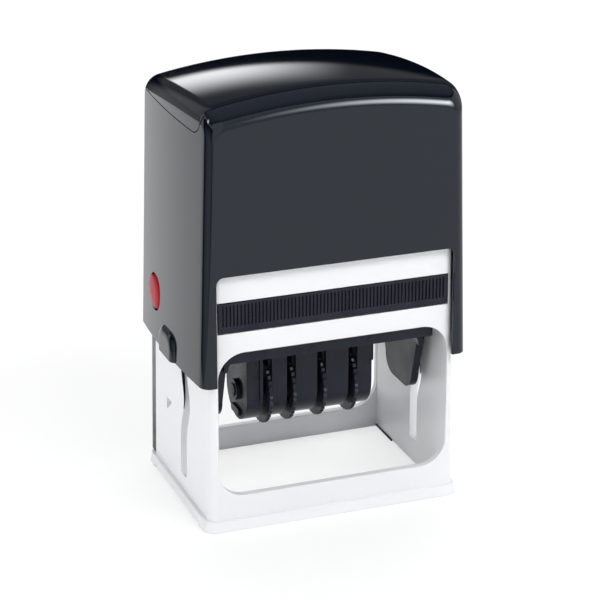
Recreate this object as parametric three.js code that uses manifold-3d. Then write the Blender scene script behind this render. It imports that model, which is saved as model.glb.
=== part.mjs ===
// Self-inking date stamp: a white base frame that stands on the paper, a black cover that slides
// down over it, and a die holder with a four-band dater that turns over as the cover goes down.
// Millimetres, +Z up, the front faces -Y, the origin under the middle of the base.

import * as THREE from "three";
import { mergeVertices } from "three/addons/utils/BufferGeometryUtils.js";
import Module from "manifold-3d";

const wasm = await Module();
wasm.setup();

// Shared clearances and the overrun of every cut
const GAP = 0.3;
const OVERRUN = 3;
const ARC_STEPS = 6;
const ROUND_SIDES = 24;

// Printing plate: the size that the stamp is sold by
const PLATE_LENGTH = 56;
const PLATE_DEPTH = 33;
const PLATE_CORNER = 1;

// Stroke of the cover, turning axis of the die holder and the printing face above it
const STROKE = 35.8;
const PIVOT_Y = -4.2;
const FACE_RISE = 8;
const PAD_CLEARANCE = 0.8;

// Base frame, built round the room that the die holder needs to turn over
const HOLDER_END_ROOM = 3;
const HOLDER_FRONT_ROOM = 1.1;
const HOLDER_BACK_ROOM = 1.1;
const BASE_END_WALL = 2.6;
const BASE_WALL = 1.8;
const BASE_DRAFT = 1.3;
const BASE_CORNER = 2.4;
const SKIRT_HEIGHT = 2.8;
const SKIRT_END_FLARE = 1.2;
const SKIRT_FRONT_FLARE = 0.9;
const SKIRT_CHAMFER = 0.35;
const FOOT_RELIEF = 0.5;
const FOOT_LENGTH = 5.5;
const REBATE_LENGTH = 3;
const REBATE_DEPTH = 0.7;
const WINDOW_SIDE_LIP = 0.1;
const WINDOW_BOTTOM = 9.2;
const WINDOW_LINTEL = 4.1;
const WINDOW_CORNER = 7;
const BACK_WINDOW_BOTTOM = 6.5;
const DECK_THICKNESS = 1.5;
const CROWN_SIDE_STEP = 1.6;
const CROWN_BACK_STEP = 9.3;
const CROWN_WALL = 1.5;
const CROWN_RISE = 6.6;
const BAND_CHAMFER = 1.2;
const RAIL_THICKNESS = 1.25;
const RAIL_WIDTH = 1.7;

// Curved guide slot in each end wall, with the bulge as shares of the stroke
const SLOT_WIDTH = 4.9;
const SLOT_BULGE = 2.4;
const SLOT_BULGE_BOTTOM_SHARE = 0.293;
const SLOT_BULGE_TOP_SHARE = 0.81;
const SLOT_CORNER = 0.8;
const SLOT_STEPS = 12;

// Three-cornered catch for the lock, cut into each end wall
const CATCH_BACK_LEAD = 0.4;
const CATCH_RISE = 5.7;
const CATCH_LENGTH = 4.5;
const CATCH_HEIGHT = 3.5;
const CATCH_DEPTH = 1.2;

// Cover, built round the base frame
const COVER_END_ROOM = 0.9;
const COVER_FRONT_ROOM = 0.6;
const COVER_FOOT_ROOM = 1.6;
const COVER_HEADROOM = 2;
const COVER_END_WALL = 1.5;
const COVER_FRONT_WALL = 1.2;
const COVER_ROOF = 6.4;
const COVER_DRAFT = 2;
const COVER_INNER_DRAFT = 1.4;
const COVER_CORNER = 2.4;
const CROWN_ROOM = 1.4;
const CROWN_RADIUS = 160;
const SHOULDER_RADIUS = 4.5;
const FRONT_EDGE_RADIUS = 4.5;
const BACK_EDGE_RADIUS = 12;
const CUTOUT_SIDE_ROOM = 0.6;
const CUTOUT_TOP_LAP = 0.8;
const CUTOUT_CORNER = 2;
const BOSS_LENGTH = 12.8;
const BOSS_BACK_SHIFT = 3.4;
const BOSS_TOP = 4.1;
const BOSS_CORNER = 3.2;
const BOSS_RISE = 1.6;
const BOSS_EDGE = 1.4;
const BOSS_EDGE_STEPS = 4;
const BOSS_ROOT = 0.6;

// Clear index window that clips over the top of the cover
const INDEX_THICKNESS = 1.2;
const INDEX_FRONT_SETBACK = 4.2;
const INDEX_BACK_SETBACK = 4.5;
const INDEX_DROP = 9.9;
const INDEX_CORNER = 4.9;
const SEAM_GAP = 0.25;

// Lock buttons
const BUTTON_SETBACK = 14.9;
const BUTTON_RISE = 13;
const BUTTON_RADIUS = 4.5;
const BUTTON_CLEARANCE = 0.5;
const BUTTON_PROUD = 0.7;
const BUTTON_EDGE = 0.4;
const BUTTON_EDGE_SHARE = 0.3;
const BUTTON_DOME = 0.15;
const BUTTON_DOME_SHARE = 0.8;
const BUTTON_FLANGE = 1.1;
const BUTTON_FLANGE_THICKNESS = 0.4;
const BUTTON_LIP = 0.5;
const BUTTON_SEAT_GAP = 0.15;

// Return spring
const SPRING_RADIUS = 5.6;
const SPRING_WIRE = 1.1;
const SPRING_TURNS = 6;
const SPRING_STEPS = 8;
const SPRING_SIDES = 5;
const SPRING_CLEARANCE = 0.4;
const SPRING_EASE_SHARE = 0.5;
const SPRING_CUP_WALL = 1.3;
const SPRING_CUP_HEIGHT = 6;
const SPRING_POST_RADIUS = 4.2;
const SPRING_POST_LENGTH = 5;

// Die holder
const HOLDER_THICKNESS = 5.5;
const HOLDER_RIM = 0.4;
const HOLDER_DEPTH_RIM = 0.7;
const HOLDER_WALL = 1.8;
const HOLDER_SKIN = 2;
const TEXT_PLATE_THICKNESS = 1;
const RUBBER_THICKNESS = 1.1;
const RUBBER_SHEET = 0.5;
const RUBBER_MARGIN = 0.6;
const RUBBER_LINE = 1.1;
const CHEEK_THICKNESS = 2;
const CHEEK_TOP_DEPTH = 26.4;
const CHEEK_LOW_DEPTH = 17.6;
const CHEEK_REACH = 18.3;
const CHEEK_CORNER = 5;
const CHEEK_FILLET = 4;
const PIN_RADIUS = 1;
const PIN_BOSS_RADIUS = 3;
const PIN_BOSS_LENGTH = 1.4;
const PIN_SINK = 1.6;

// Dater: wheels, bands and nose bar, with the wheels' places as shares of the housing's length
const DATER_LENGTH = 34.3;
const DATER_LEFT_LEAD = 2.05;
const WHEEL_PLACE_SHARES = [0.178, 0.367, 0.609, 0.86];
const WHEEL_DROP = 14.2;
const WHEEL_RADIUS = 9.7;
const WHEEL_TOOTH = 0.3;
const WHEEL_TEETH = 40;
const WHEEL_RIM = 0.9;
const HUB_RADIUS = 5.4;
const AXLE_RADIUS = 1.5;
const AXLE_CLEARANCE = 0.35;
const BAND_THICKNESS = 1;
const NOSE_RADIUS = 1.4;
const NOSE_SEAT = 2;

// Housing of the dater
const HOUSING_END = 1.2;
const HOUSING_WALL = 1;
const HOUSING_SLOT_TOP = 2.2;
const HOUSING_SLOT_GAP = 1.2;
const HOUSING_SHOULDER = 1.2;
const HOUSING_SHOULDER_DEPTH = 12.4;
const HOUSING_SHOULDER_BOTTOM = 9.3;
const HOUSING_SHOULDER_CORNER = 1;
const HOUSING_BOSS_RADIUS = 2.8;
const HOUSING_BOSS_RISE = 0.9;
const HOUSING_LUG_RISE = 0.6;
const HOUSING_LUG_BELOW_AXLE = 4.7;
const HOUSING_LUG_HEIGHT = 2;
const HOUSING_LUG_DEPTH = 6;
const HOUSING_LUG_CORNER = 0.8;
const HOUSING_SEAM_PLACE = 2.7;
const HOUSING_SEAM = 0.9;
const HOUSING_SEAM_REACH = 3;

// Ink pad cassette
const TRAY_SIDE_ROOM = 0.4;
const TRAY_HEIGHT = 7.75;
const PAD_BACK_MARGIN = 2;
const TRAY_FRONT_WALL = 2.4;
const TRAY_SIDE_WALL = 1.7;
const TRAY_FLOOR = 1.3;
const FELT_THICKNESS = 4;
const FELT_RECESS = 0.05;
const GRIP_PITCH = 0.95;
const GRIP_DEPTH = 0.45;
const GRIP_BOTTOM_RIM = 1.7;
const GRIP_TOP_RIM = 0.7;
const GRIP_END_RIM = 1;
const GRIP_RIB_SHARE = 0.55;

// Sizes that follow from those above, from the plate outwards

const plateHalf = PLATE_LENGTH / 2;
const plateHalfDepth = PLATE_DEPTH / 2;
const pivotZ = STROKE + FACE_RISE;
const insideHalf = plateHalf + HOLDER_END_ROOM;
const baseHalf = insideHalf + BASE_END_WALL;
const frontRoom = plateHalfDepth + HOLDER_DEPTH_RIM + HOLDER_FRONT_ROOM - PIVOT_Y;
const backRoom = WHEEL_DROP + WHEEL_RADIUS + HOLDER_BACK_ROOM + PIVOT_Y;
const insideDepth = Math.max(frontRoom, backRoom);
const baseHalfDepth = insideDepth + BASE_WALL;
const coverHalf = baseHalf + COVER_END_ROOM + COVER_END_WALL;
const coverHalfDepth = baseHalfDepth + COVER_FRONT_ROOM + COVER_FRONT_WALL;

// Height that the corner of the printing face reaches over the resting axis while it turns over and sinks
const cornerReach = Math.hypot(plateHalfDepth, FACE_RISE);
const cornerLead = Math.atan2(FACE_RISE, plateHalfDepth);
const highestTurn = Math.max(Math.acos(Math.min(STROKE / (Math.PI * cornerReach), 1)) - cornerLead, 0);
const cornerRise = cornerReach * Math.sin(cornerLead + highestTurn) - (STROKE * highestTurn) / Math.PI;

const trayHalf = insideHalf - TRAY_SIDE_ROOM;
const trayBottom = pivotZ + cornerRise + PAD_CLEARANCE;
const trayTop = trayBottom + TRAY_HEIGHT;
const trayBack = PIVOT_Y + plateHalfDepth + PAD_BACK_MARGIN + TRAY_SIDE_WALL;
const railTop = trayBottom - GAP;
const windowHalf = insideHalf - WINDOW_SIDE_LIP;
const windowTop = railTop - RAIL_THICKNESS - WINDOW_LINTEL;
const deckBottom = trayTop + GAP;
const deckTop = deckBottom + DECK_THICKNESS;
const crownHalf = insideHalf - CROWN_SIDE_STEP;
const crownBack = baseHalfDepth - CROWN_BACK_STEP;
const baseHeight = deckTop + CROWN_RISE;
const coverBottom = SKIRT_HEIGHT + STROKE + COVER_FOOT_ROOM;
const cutoutHalf = insideHalf + CUTOUT_SIDE_ROOM;
const cutoutTop = baseHeight - CUTOUT_TOP_LAP;
const ceiling = baseHeight + STROKE + COVER_HEADROOM;
const crownTop = ceiling + COVER_ROOF;
const buttonY = coverHalfDepth - BUTTON_SETBACK;
const buttonZ = coverBottom + BUTTON_RISE;

// Solids and geometry

function toSolid(geometry) {
  const bare = geometry.clone();
  bare.deleteAttribute("normal");
  bare.deleteAttribute("uv");
  const merged = mergeVertices(bare);
  const mesh = new wasm.Mesh({
    numProp: 3,
    vertProperties: new Float32Array(merged.attributes.position.array),
    triVerts: new Uint32Array(merged.index.array),
  });
  return new wasm.Manifold(mesh);
}

function toGeometry(solid) {
  const mesh = solid.getMesh();
  const geometry = new THREE.BufferGeometry();
  geometry.setAttribute("position", new THREE.BufferAttribute(new Float32Array(mesh.vertProperties), 3));
  geometry.setIndex(new THREE.BufferAttribute(new Uint32Array(mesh.triVerts), 1));
  geometry.computeVertexNormals();
  return geometry;
}

function join(...solids) {
  return solids.reduce((sum, solid) => sum.add(solid));
}

function cut(solid, ...tools) {
  return tools.reduce((rest, tool) => rest.subtract(tool), solid);
}

function extrude(shape, depth, matrix) {
  const options = { depth, bevelEnabled: false, curveSegments: ARC_STEPS };
  const geometry = new THREE.ExtrudeGeometry(shape, options);
  geometry.applyMatrix4(matrix);
  return toSolid(geometry);
}

// A shape drawn in X and Y, pulled from z0 up to z1
function prismZ(shape, z0, z1) {
  return extrude(shape, z1 - z0, new THREE.Matrix4().makeTranslation(0, 0, z0));
}

// A shape drawn in Y and Z, pulled from x0 to x1
function prismX(shape, x0, x1) {
  const turn = new THREE.Matrix4().makeBasis(
    new THREE.Vector3(0, 1, 0),
    new THREE.Vector3(0, 0, 1),
    new THREE.Vector3(1, 0, 0),
  );
  turn.setPosition(x0, 0, 0);
  return extrude(shape, x1 - x0, turn);
}

// A shape drawn in X and Z, pulled from y0 to y1
function prismY(shape, y0, y1) {
  const turn = new THREE.Matrix4().makeBasis(
    new THREE.Vector3(1, 0, 0),
    new THREE.Vector3(0, 0, 1),
    new THREE.Vector3(0, -1, 0),
  );
  turn.setPosition(0, y1, 0);
  return extrude(shape, y1 - y0, turn);
}

function box(x0, x1, y0, y1, z0, z1) {
  const geometry = new THREE.BoxGeometry(x1 - x0, y1 - y0, z1 - z0);
  geometry.translate((x0 + x1) / 2, (y0 + y1) / 2, (z0 + z1) / 2);
  return toSolid(geometry);
}

function rodX(radius, x0, x1, y, z) {
  const geometry = new THREE.CylinderGeometry(radius, radius, x1 - x0, ROUND_SIDES);
  geometry.rotateZ(Math.PI / 2);
  geometry.translate((x0 + x1) / 2, y, z);
  return toSolid(geometry);
}

function rodZ(radius, z0, z1) {
  const geometry = new THREE.CylinderGeometry(radius, radius, z1 - z0, ROUND_SIDES);
  geometry.rotateX(Math.PI / 2);
  geometry.translate(0, 0, (z0 + z1) / 2);
  return toSolid(geometry);
}

function roundedRect(x0, x1, y0, y1, radius) {
  const shape = new THREE.Shape();
  shape.moveTo(x0 + radius, y0);
  shape.lineTo(x1 - radius, y0);
  shape.absarc(x1 - radius, y0 + radius, radius, -Math.PI / 2, 0);
  shape.lineTo(x1, y1 - radius);
  shape.absarc(x1 - radius, y1 - radius, radius, 0, Math.PI / 2);
  shape.lineTo(x0 + radius, y1);
  shape.absarc(x0 + radius, y1 - radius, radius, Math.PI / 2, Math.PI);
  shape.lineTo(x0, y0 + radius);
  shape.absarc(x0 + radius, y0 + radius, radius, Math.PI, Math.PI * 1.5);
  return shape;
}

function polygon(points) {
  return new THREE.Shape(points.map(([x, y]) => new THREE.Vector2(x, y)));
}

// A prism whose sides lean in towards its top by leanX and leanY on each side
function leaningPrism(halfX, halfY, radius, z0, z1, leanX, leanY) {
  const geometry = new THREE.ExtrudeGeometry(roundedRect(-halfX, halfX, -halfY, halfY, radius), {
    depth: z1 - z0,
    bevelEnabled: false,
    curveSegments: ARC_STEPS,
  });
  geometry.translate(0, 0, z0);
  const position = geometry.attributes.position;
  for (let i = 0; i < position.count; i += 1) {
    const share = (position.getZ(i) - z0) / (z1 - z0);
    position.setX(i, position.getX(i) * (1 - (leanX * share) / halfX));
    position.setY(i, position.getY(i) * (1 - (leanY * share) / halfY));
  }
  return toSolid(geometry);
}

// A skin through equal loops of points, closed with flat ends that face along Y
function skinAlongY(loops) {
  const positions = [];
  const index = [];
  const count = loops[0].length;
  for (const loop of loops) {
    for (const point of loop) {
      positions.push(point.x, point.y, point.z);
    }
  }
  for (let s = 0; s < loops.length - 1; s += 1) {
    for (let i = 0; i < count; i += 1) {
      const a = s * count + i;
      const b = s * count + ((i + 1) % count);
      index.push(a, b + count, b);
      index.push(a, a + count, b + count);
    }
  }
  const flat = loops[0].map((point) => new THREE.Vector2(point.x, point.z));
  const last = (loops.length - 1) * count;
  for (const [a, b, c] of THREE.ShapeUtils.triangulateShape(flat, [])) {
    index.push(a, b, c);
    index.push(last + c, last + b, last + a);
  }
  const geometry = new THREE.BufferGeometry();
  geometry.setAttribute("position", new THREE.Float32BufferAttribute(positions, 3));
  geometry.setIndex(index);
  return geometry;
}

const mirrorX = (solid) => solid.mirror([1, 0, 0]);

// Cover: one family of sections serves its outside and the surfaces set in from it

const shoulderHalf = coverHalf - COVER_DRAFT;
const crownCentre = crownTop - CROWN_RADIUS;

function roundingDrop(radius, distance) {
  if (distance >= radius) {
    return 0;
  }
  const run = radius - Math.max(distance, 0);
  return radius - Math.sqrt(radius * radius - run * run);
}

// One arched section of the cover at y, with its whole surface set in by inset
function coverSection(y, inset) {
  const fromFront = y + coverHalfDepth - inset;
  const fromBack = coverHalfDepth - inset - y;
  const nearest = Math.min(fromFront, fromBack);
  const narrowing = inset + roundingDrop(COVER_CORNER - inset, nearest);
  const frontDrop = roundingDrop(FRONT_EDGE_RADIUS - inset, fromFront);
  const backDrop = roundingDrop(BACK_EDGE_RADIUS - inset, fromBack);
  const radius = SHOULDER_RADIUS - inset;
  const crown = CROWN_RADIUS - inset;
  const centreX = shoulderHalf - narrowing - radius;
  const centreZ = crownCentre + Math.sqrt((crown - radius) ** 2 - centreX * centreX) - frontDrop - backDrop;
  const lean = Math.asin(centreX / (crown - radius));
  const half = [];
  half.push(new THREE.Vector3(coverHalf - narrowing, y, coverBottom));
  for (let i = 0; i <= ARC_STEPS; i += 1) {
    const angle = ((Math.PI / 2 - lean) * i) / ARC_STEPS;
    half.push(new THREE.Vector3(centreX + radius * Math.cos(angle), y, centreZ + radius * Math.sin(angle)));
  }
  for (let i = 1; i < ARC_STEPS; i += 1) {
    const angle = lean * (1 - i / ARC_STEPS);
    const z = crownCentre + crown * Math.cos(angle) - frontDrop - backDrop;
    half.push(new THREE.Vector3(crown * Math.sin(angle), y, z));
  }
  const top = new THREE.Vector3(0, y, crownCentre + crown - frontDrop - backDrop);
  const other = half.map((point) => new THREE.Vector3(-point.x, point.y, point.z)).reverse();
  return [...half, top, ...other];
}

function coverStations(inset) {
  const stations = [];
  const spread = (radius, steps) => {
    const list = [];
    for (let i = 0; i <= steps; i += 1) {
      list.push(radius * (1 - Math.cos((Math.PI / 2) * (i / steps))));
    }
    return list;
  };
  const corner = spread(COVER_CORNER - inset, ARC_STEPS - 2);
  const front = spread(FRONT_EDGE_RADIUS - inset, ARC_STEPS).filter((t) => t > COVER_CORNER);
  const back = spread(BACK_EDGE_RADIUS - inset, ARC_STEPS + 2).filter((t) => t > COVER_CORNER);
  const face = coverHalfDepth - inset;
  stations.push(...[...corner, ...front].map((t) => t - face));
  stations.push(...[...corner, ...back].map((t) => face - t).reverse());
  return stations;
}

function coverBody(inset) {
  return toSolid(skinAlongY(coverStations(inset).map((y) => coverSection(y, inset))));
}

// The side view of the index window, grown by margin
function indexOutline(margin) {
  const shape = new THREE.Shape();
  const corner = INDEX_CORNER + margin;
  const front = INDEX_FRONT_SETBACK - coverHalfDepth - margin;
  const back = coverHalfDepth - INDEX_BACK_SETBACK + margin;
  const bottom = crownTop - INDEX_DROP - margin;
  const top = crownTop + OVERRUN;
  shape.moveTo(back, top);
  shape.lineTo(front, top);
  shape.lineTo(front, bottom + corner);
  shape.absarc(front + corner, bottom + corner, corner, Math.PI, Math.PI * 1.5);
  shape.lineTo(back, bottom);
  return shape;
}

const coverInnerHalf = coverHalf - COVER_END_WALL;
const coverInnerDepth = coverHalfDepth - COVER_FRONT_WALL;
const narrowFrom = deckTop + STROKE + GAP * 2;

function coverInnerHalfAt(z) {
  return coverInnerHalf - (COVER_INNER_DRAFT * (z - coverBottom)) / (narrowFrom - coverBottom);
}

function coverOuterHalfAt(z) {
  const shoulder = crownCentre + CROWN_RADIUS - SHOULDER_RADIUS;
  return coverHalf - (COVER_DRAFT * (z - coverBottom)) / (shoulder - coverBottom);
}

// A pillow-shaped boss round the pivot pin's seat, level with the cover's foot
function pivotBoss() {
  const middle = PIVOT_Y + BOSS_BACK_SHIFT;
  const half = BOSS_LENGTH / 2 - BOSS_EDGE;
  const top = pivotZ + BOSS_TOP - BOSS_EDGE;
  const corner = BOSS_CORNER - BOSS_EDGE;
  const outline = roundedRect(middle - half, middle + half, coverBottom - BOSS_CORNER, top, corner);
  const geometry = new THREE.ExtrudeGeometry(outline, {
    depth: BOSS_RISE + BOSS_ROOT - BOSS_EDGE,
    bevelEnabled: true,
    bevelThickness: BOSS_EDGE,
    bevelSize: BOSS_EDGE,
    bevelSegments: BOSS_EDGE_STEPS,
    curveSegments: ARC_STEPS,
  });
  const turn = new THREE.Matrix4().makeBasis(
    new THREE.Vector3(0, 1, 0),
    new THREE.Vector3(0, 0, 1),
    new THREE.Vector3(1, 0, 0),
  );
  turn.setPosition(coverOuterHalfAt(pivotZ) - BOSS_ROOT, 0, 0);
  geometry.applyMatrix4(turn);
  const below = box(0, coverHalf + OVERRUN * 2, -coverHalfDepth, coverHalfDepth, 0, coverBottom);
  return cut(toSolid(geometry), below);
}

function makeCover() {
  const frontY = -coverInnerDepth;
  const low = coverBottom - OVERRUN;
  const lowGrowth = (COVER_INNER_DRAFT * OVERRUN) / (narrowFrom - coverBottom);
  const mainHollow = leaningPrism(
    coverInnerHalf + lowGrowth,
    coverInnerDepth,
    COVER_CORNER - COVER_FRONT_WALL,
    low,
    narrowFrom,
    COVER_INNER_DRAFT + lowGrowth,
    0,
  );
  const topHalf = crownHalf + CROWN_ROOM;
  const wallBack = GAP - insideDepth;
  const topHollow = box(-topHalf, topHalf, wallBack - GAP, crownBack + GAP * 2, low, ceiling);
  const wallHalf = baseHalf - BASE_DRAFT + GAP;
  const wallTop = baseHeight + STROKE + GAP * 2;
  const wallHollow = box(-wallHalf, wallHalf, frontY, wallBack, low, wallTop);
  const cutout = prismY(
    roundedRect(-cutoutHalf, cutoutHalf, low, cutoutTop, CUTOUT_CORNER),
    -coverHalfDepth - OVERRUN,
    coverHalfDepth + OVERRUN,
  );
  const recessZone = prismX(indexOutline(SEAM_GAP), -coverHalf - OVERRUN, coverHalf + OVERRUN);
  const recess = cut(recessZone, coverBody(INDEX_THICKNESS + GAP));
  const pinEnd = coverOuterHalfAt(pivotZ) + BOSS_RISE - PIN_SINK + GAP;
  const pinHole = rodX(PIN_RADIUS + GAP, 0, pinEnd, PIVOT_Y, pivotZ);
  const outer = coverOuterHalfAt(buttonZ);
  const holeRadius = BUTTON_RADIUS + BUTTON_CLEARANCE;
  const buttonHole = rodX(holeRadius, 0, coverHalf + OVERRUN, buttonY, buttonZ);
  const seatRadius = BUTTON_RADIUS + BUTTON_FLANGE + GAP;
  const buttonSeat = rodX(seatRadius, 0, outer - BUTTON_LIP, buttonY, buttonZ);
  const post = rodZ(SPRING_POST_RADIUS, ceiling - SPRING_POST_LENGTH, ceiling + COVER_FRONT_WALL);
  const boss = pivotBoss();
  let shell = cut(coverBody(0), recess);
  shell = join(shell, boss, mirrorX(boss));
  shell = cut(shell, mainHollow, topHollow, wallHollow, cutout);
  shell = cut(shell, pinHole, mirrorX(pinHole), buttonHole, mirrorX(buttonHole));
  shell = cut(shell, buttonSeat, mirrorX(buttonSeat));
  return join(shell, post);
}

function makeIndexWindow() {
  const zone = prismX(indexOutline(0), -coverHalf, coverHalf);
  return cut(coverBody(0), coverBody(INDEX_THICKNESS)).intersect(zone);
}

// Base frame

// The guide slot's outline in Y and Z: straight below, bowed to the front at half height
function slotOutline() {
  const straightY = PIVOT_Y + SLOT_BULGE / 2;
  const bottom = pivotZ - STROKE - PIN_RADIUS - GAP;
  const top = pivotZ + PIN_RADIUS + GAP;
  const half = SLOT_WIDTH / 2;
  const lowest = FACE_RISE + STROKE * SLOT_BULGE_BOTTOM_SHARE;
  const highest = FACE_RISE + STROKE * SLOT_BULGE_TOP_SHARE;
  const bow = (z) => {
    const share = (z - lowest) / (highest - lowest);
    return straightY - (SLOT_BULGE / 2) * (1 - Math.cos(2 * Math.PI * share));
  };
  const shape = new THREE.Shape();
  shape.moveTo(straightY - half + SLOT_CORNER, bottom);
  shape.lineTo(straightY + half - SLOT_CORNER, bottom);
  shape.lineTo(straightY + half, bottom + SLOT_CORNER);
  for (let i = 0; i <= SLOT_STEPS; i += 1) {
    const z = lowest + ((highest - lowest) * i) / SLOT_STEPS;
    shape.lineTo(bow(z) + half, z);
  }
  shape.lineTo(straightY + half, top - SLOT_CORNER);
  shape.lineTo(straightY + half - SLOT_CORNER, top);
  shape.lineTo(straightY - half + SLOT_CORNER, top);
  shape.lineTo(straightY - half, top - SLOT_CORNER);
  for (let i = SLOT_STEPS; i >= 0; i -= 1) {
    const z = lowest + ((highest - lowest) * i) / SLOT_STEPS;
    shape.lineTo(bow(z) - half, z);
  }
  shape.lineTo(straightY - half, bottom + SLOT_CORNER);
  return shape;
}

function makeBase() {
  const body = leaningPrism(baseHalf, baseHalfDepth, BASE_CORNER, 0, baseHeight, BASE_DRAFT, 0);
  const skirt = leaningPrism(
    baseHalf + SKIRT_END_FLARE,
    baseHalfDepth + SKIRT_FRONT_FLARE,
    BASE_CORNER + SKIRT_FRONT_FLARE,
    0,
    SKIRT_HEIGHT,
    SKIRT_CHAMFER,
    SKIRT_CHAMFER,
  );
  const room = box(-insideHalf, insideHalf, -insideDepth, insideDepth, -OVERRUN, deckBottom);
  const frontWindow = prismY(
    roundedRect(-windowHalf, windowHalf, WINDOW_BOTTOM, windowTop, WINDOW_CORNER),
    -baseHalfDepth - OVERRUN,
    0,
  );
  const backWindow = prismY(
    roundedRect(-windowHalf, windowHalf, BACK_WINDOW_BOTTOM, windowTop, WINDOW_CORNER),
    0,
    baseHalfDepth + OVERRUN,
  );
  const trayDoor = box(
    -trayHalf - GAP,
    trayHalf + GAP,
    -baseHalfDepth - OVERRUN,
    0,
    railTop,
    deckBottom,
  );
  const well = box(
    -crownHalf + CROWN_WALL,
    crownHalf - CROWN_WALL,
    -insideDepth,
    crownBack - CROWN_WALL,
    deckTop,
    baseHeight + OVERRUN,
  );
  const backEnd = baseHalfDepth + OVERRUN;
  const sideStep = box(crownHalf, baseHalf + OVERRUN, -insideDepth, backEnd, deckTop, baseHeight + OVERRUN);
  const backStep = box(-baseHalf, baseHalf, crownBack, backEnd, deckTop, baseHeight + OVERRUN);
  const rebateHigh = baseHeight + OVERRUN;
  const rebateHalfAt = (z) => baseHalf - REBATE_DEPTH - (BASE_DRAFT * z) / baseHeight;
  const rebate = prismY(
    polygon([
      [rebateHalfAt(SKIRT_HEIGHT), SKIRT_HEIGHT],
      [baseHalf + OVERRUN, SKIRT_HEIGHT],
      [baseHalf + OVERRUN, rebateHigh],
      [rebateHalfAt(rebateHigh), rebateHigh],
    ]),
    baseHalfDepth - REBATE_LENGTH,
    backEnd,
  );
  const topHalf = baseHalf - BASE_DRAFT;
  const wallCorner = prismY(
    polygon([
      [topHalf - BAND_CHAMFER, baseHeight],
      [topHalf + OVERRUN, baseHeight - BAND_CHAMFER - OVERRUN],
      [topHalf + OVERRUN, baseHeight + OVERRUN],
      [topHalf - BAND_CHAMFER, baseHeight + OVERRUN],
    ]),
    -baseHalfDepth - OVERRUN,
    0,
  );
  const slot = prismX(slotOutline(), insideHalf - GAP, baseHalf + OVERRUN);
  const catchBack = buttonY + CATCH_BACK_LEAD;
  const catchTop = buttonZ - STROKE + CATCH_RISE;
  const catchFloor = baseHalf - (BASE_DRAFT * catchTop) / baseHeight - CATCH_DEPTH;
  const lockCatch = prismX(
    polygon([
      [catchBack - CATCH_LENGTH, catchTop],
      [catchBack, catchTop - CATCH_HEIGHT],
      [catchBack, catchTop],
    ]),
    catchFloor,
    baseHalf + OVERRUN,
  );
  const relief = box(
    -baseHalf - OVERRUN,
    baseHalf + OVERRUN,
    -baseHalfDepth + FOOT_LENGTH,
    baseHalfDepth - FOOT_LENGTH,
    -OVERRUN,
    FOOT_RELIEF,
  );
  const rail = box(
    insideHalf - RAIL_WIDTH,
    insideHalf + BASE_WALL / 2,
    -insideDepth - BASE_WALL / 2,
    insideDepth + BASE_WALL / 2,
    railTop - RAIL_THICKNESS,
    railTop,
  );
  const cupInner = SPRING_RADIUS + SPRING_WIRE / 2 + SPRING_CLEARANCE;
  const cupWall = rodZ(cupInner + SPRING_CUP_WALL, deckTop - DECK_THICKNESS / 2, deckTop + SPRING_CUP_HEIGHT);
  const cup = cut(cupWall, rodZ(cupInner, deckTop, baseHeight + OVERRUN));
  let frame = cut(join(body, skirt), room, frontWindow, backWindow, trayDoor, well);
  frame = cut(frame, sideStep, mirrorX(sideStep), backStep, wallCorner, mirrorX(wallCorner));
  frame = cut(frame, slot, mirrorX(slot), lockCatch, mirrorX(lockCatch), rebate, mirrorX(rebate), relief);
  return join(frame, rail, mirrorX(rail), cup);
}

// Return spring: one round wire wound into a helix, with a flatter turn at each end

function makeSpring() {
  const wire = SPRING_WIRE / 2;
  const bottom = deckTop + GAP + wire;
  const height = ceiling - GAP - wire - bottom;
  const steps = SPRING_TURNS * SPRING_STEPS;
  const point = (i) => {
    const share = i / steps;
    const angle = 2 * Math.PI * SPRING_TURNS * share;
    const ease = share - (Math.sin(2 * Math.PI * share) / (2 * Math.PI)) * SPRING_EASE_SHARE;
    return new THREE.Vector3(
      SPRING_RADIUS * Math.cos(angle),
      SPRING_RADIUS * Math.sin(angle),
      bottom + height * ease,
    );
  };
  const rings = [];
  for (let i = 0; i <= steps; i += 1) {
    const centre = point(i);
    const along = point(i + 0.5).sub(point(i - 0.5)).normalize();
    const outward = new THREE.Vector3(centre.x, centre.y, 0).normalize();
    const across = new THREE.Vector3().crossVectors(along, outward).normalize();
    const ring = [];
    for (let k = 0; k < SPRING_SIDES; k += 1) {
      const turn = (2 * Math.PI * k) / SPRING_SIDES;
      const offset = outward.clone().multiplyScalar(wire * Math.cos(turn));
      offset.addScaledVector(across, wire * Math.sin(turn));
      ring.push(centre.clone().add(offset));
    }
    rings.push(ring);
  }
  const positions = rings.flat().flatMap((vertex) => [vertex.x, vertex.y, vertex.z]);
  const index = [];
  for (let i = 0; i < steps; i += 1) {
    for (let k = 0; k < SPRING_SIDES; k += 1) {
      const a = i * SPRING_SIDES + k;
      const b = i * SPRING_SIDES + ((k + 1) % SPRING_SIDES);
      index.push(a, b, b + SPRING_SIDES);
      index.push(a, b + SPRING_SIDES, a + SPRING_SIDES);
    }
  }
  const last = steps * SPRING_SIDES;
  for (let k = 1; k < SPRING_SIDES - 1; k += 1) {
    index.push(0, k + 1, k);
    index.push(last, last + k, last + k + 1);
  }
  const geometry = new THREE.BufferGeometry();
  geometry.setAttribute("position", new THREE.Float32BufferAttribute(positions, 3));
  geometry.setIndex(index);
  geometry.computeVertexNormals();
  return geometry;
}

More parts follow.
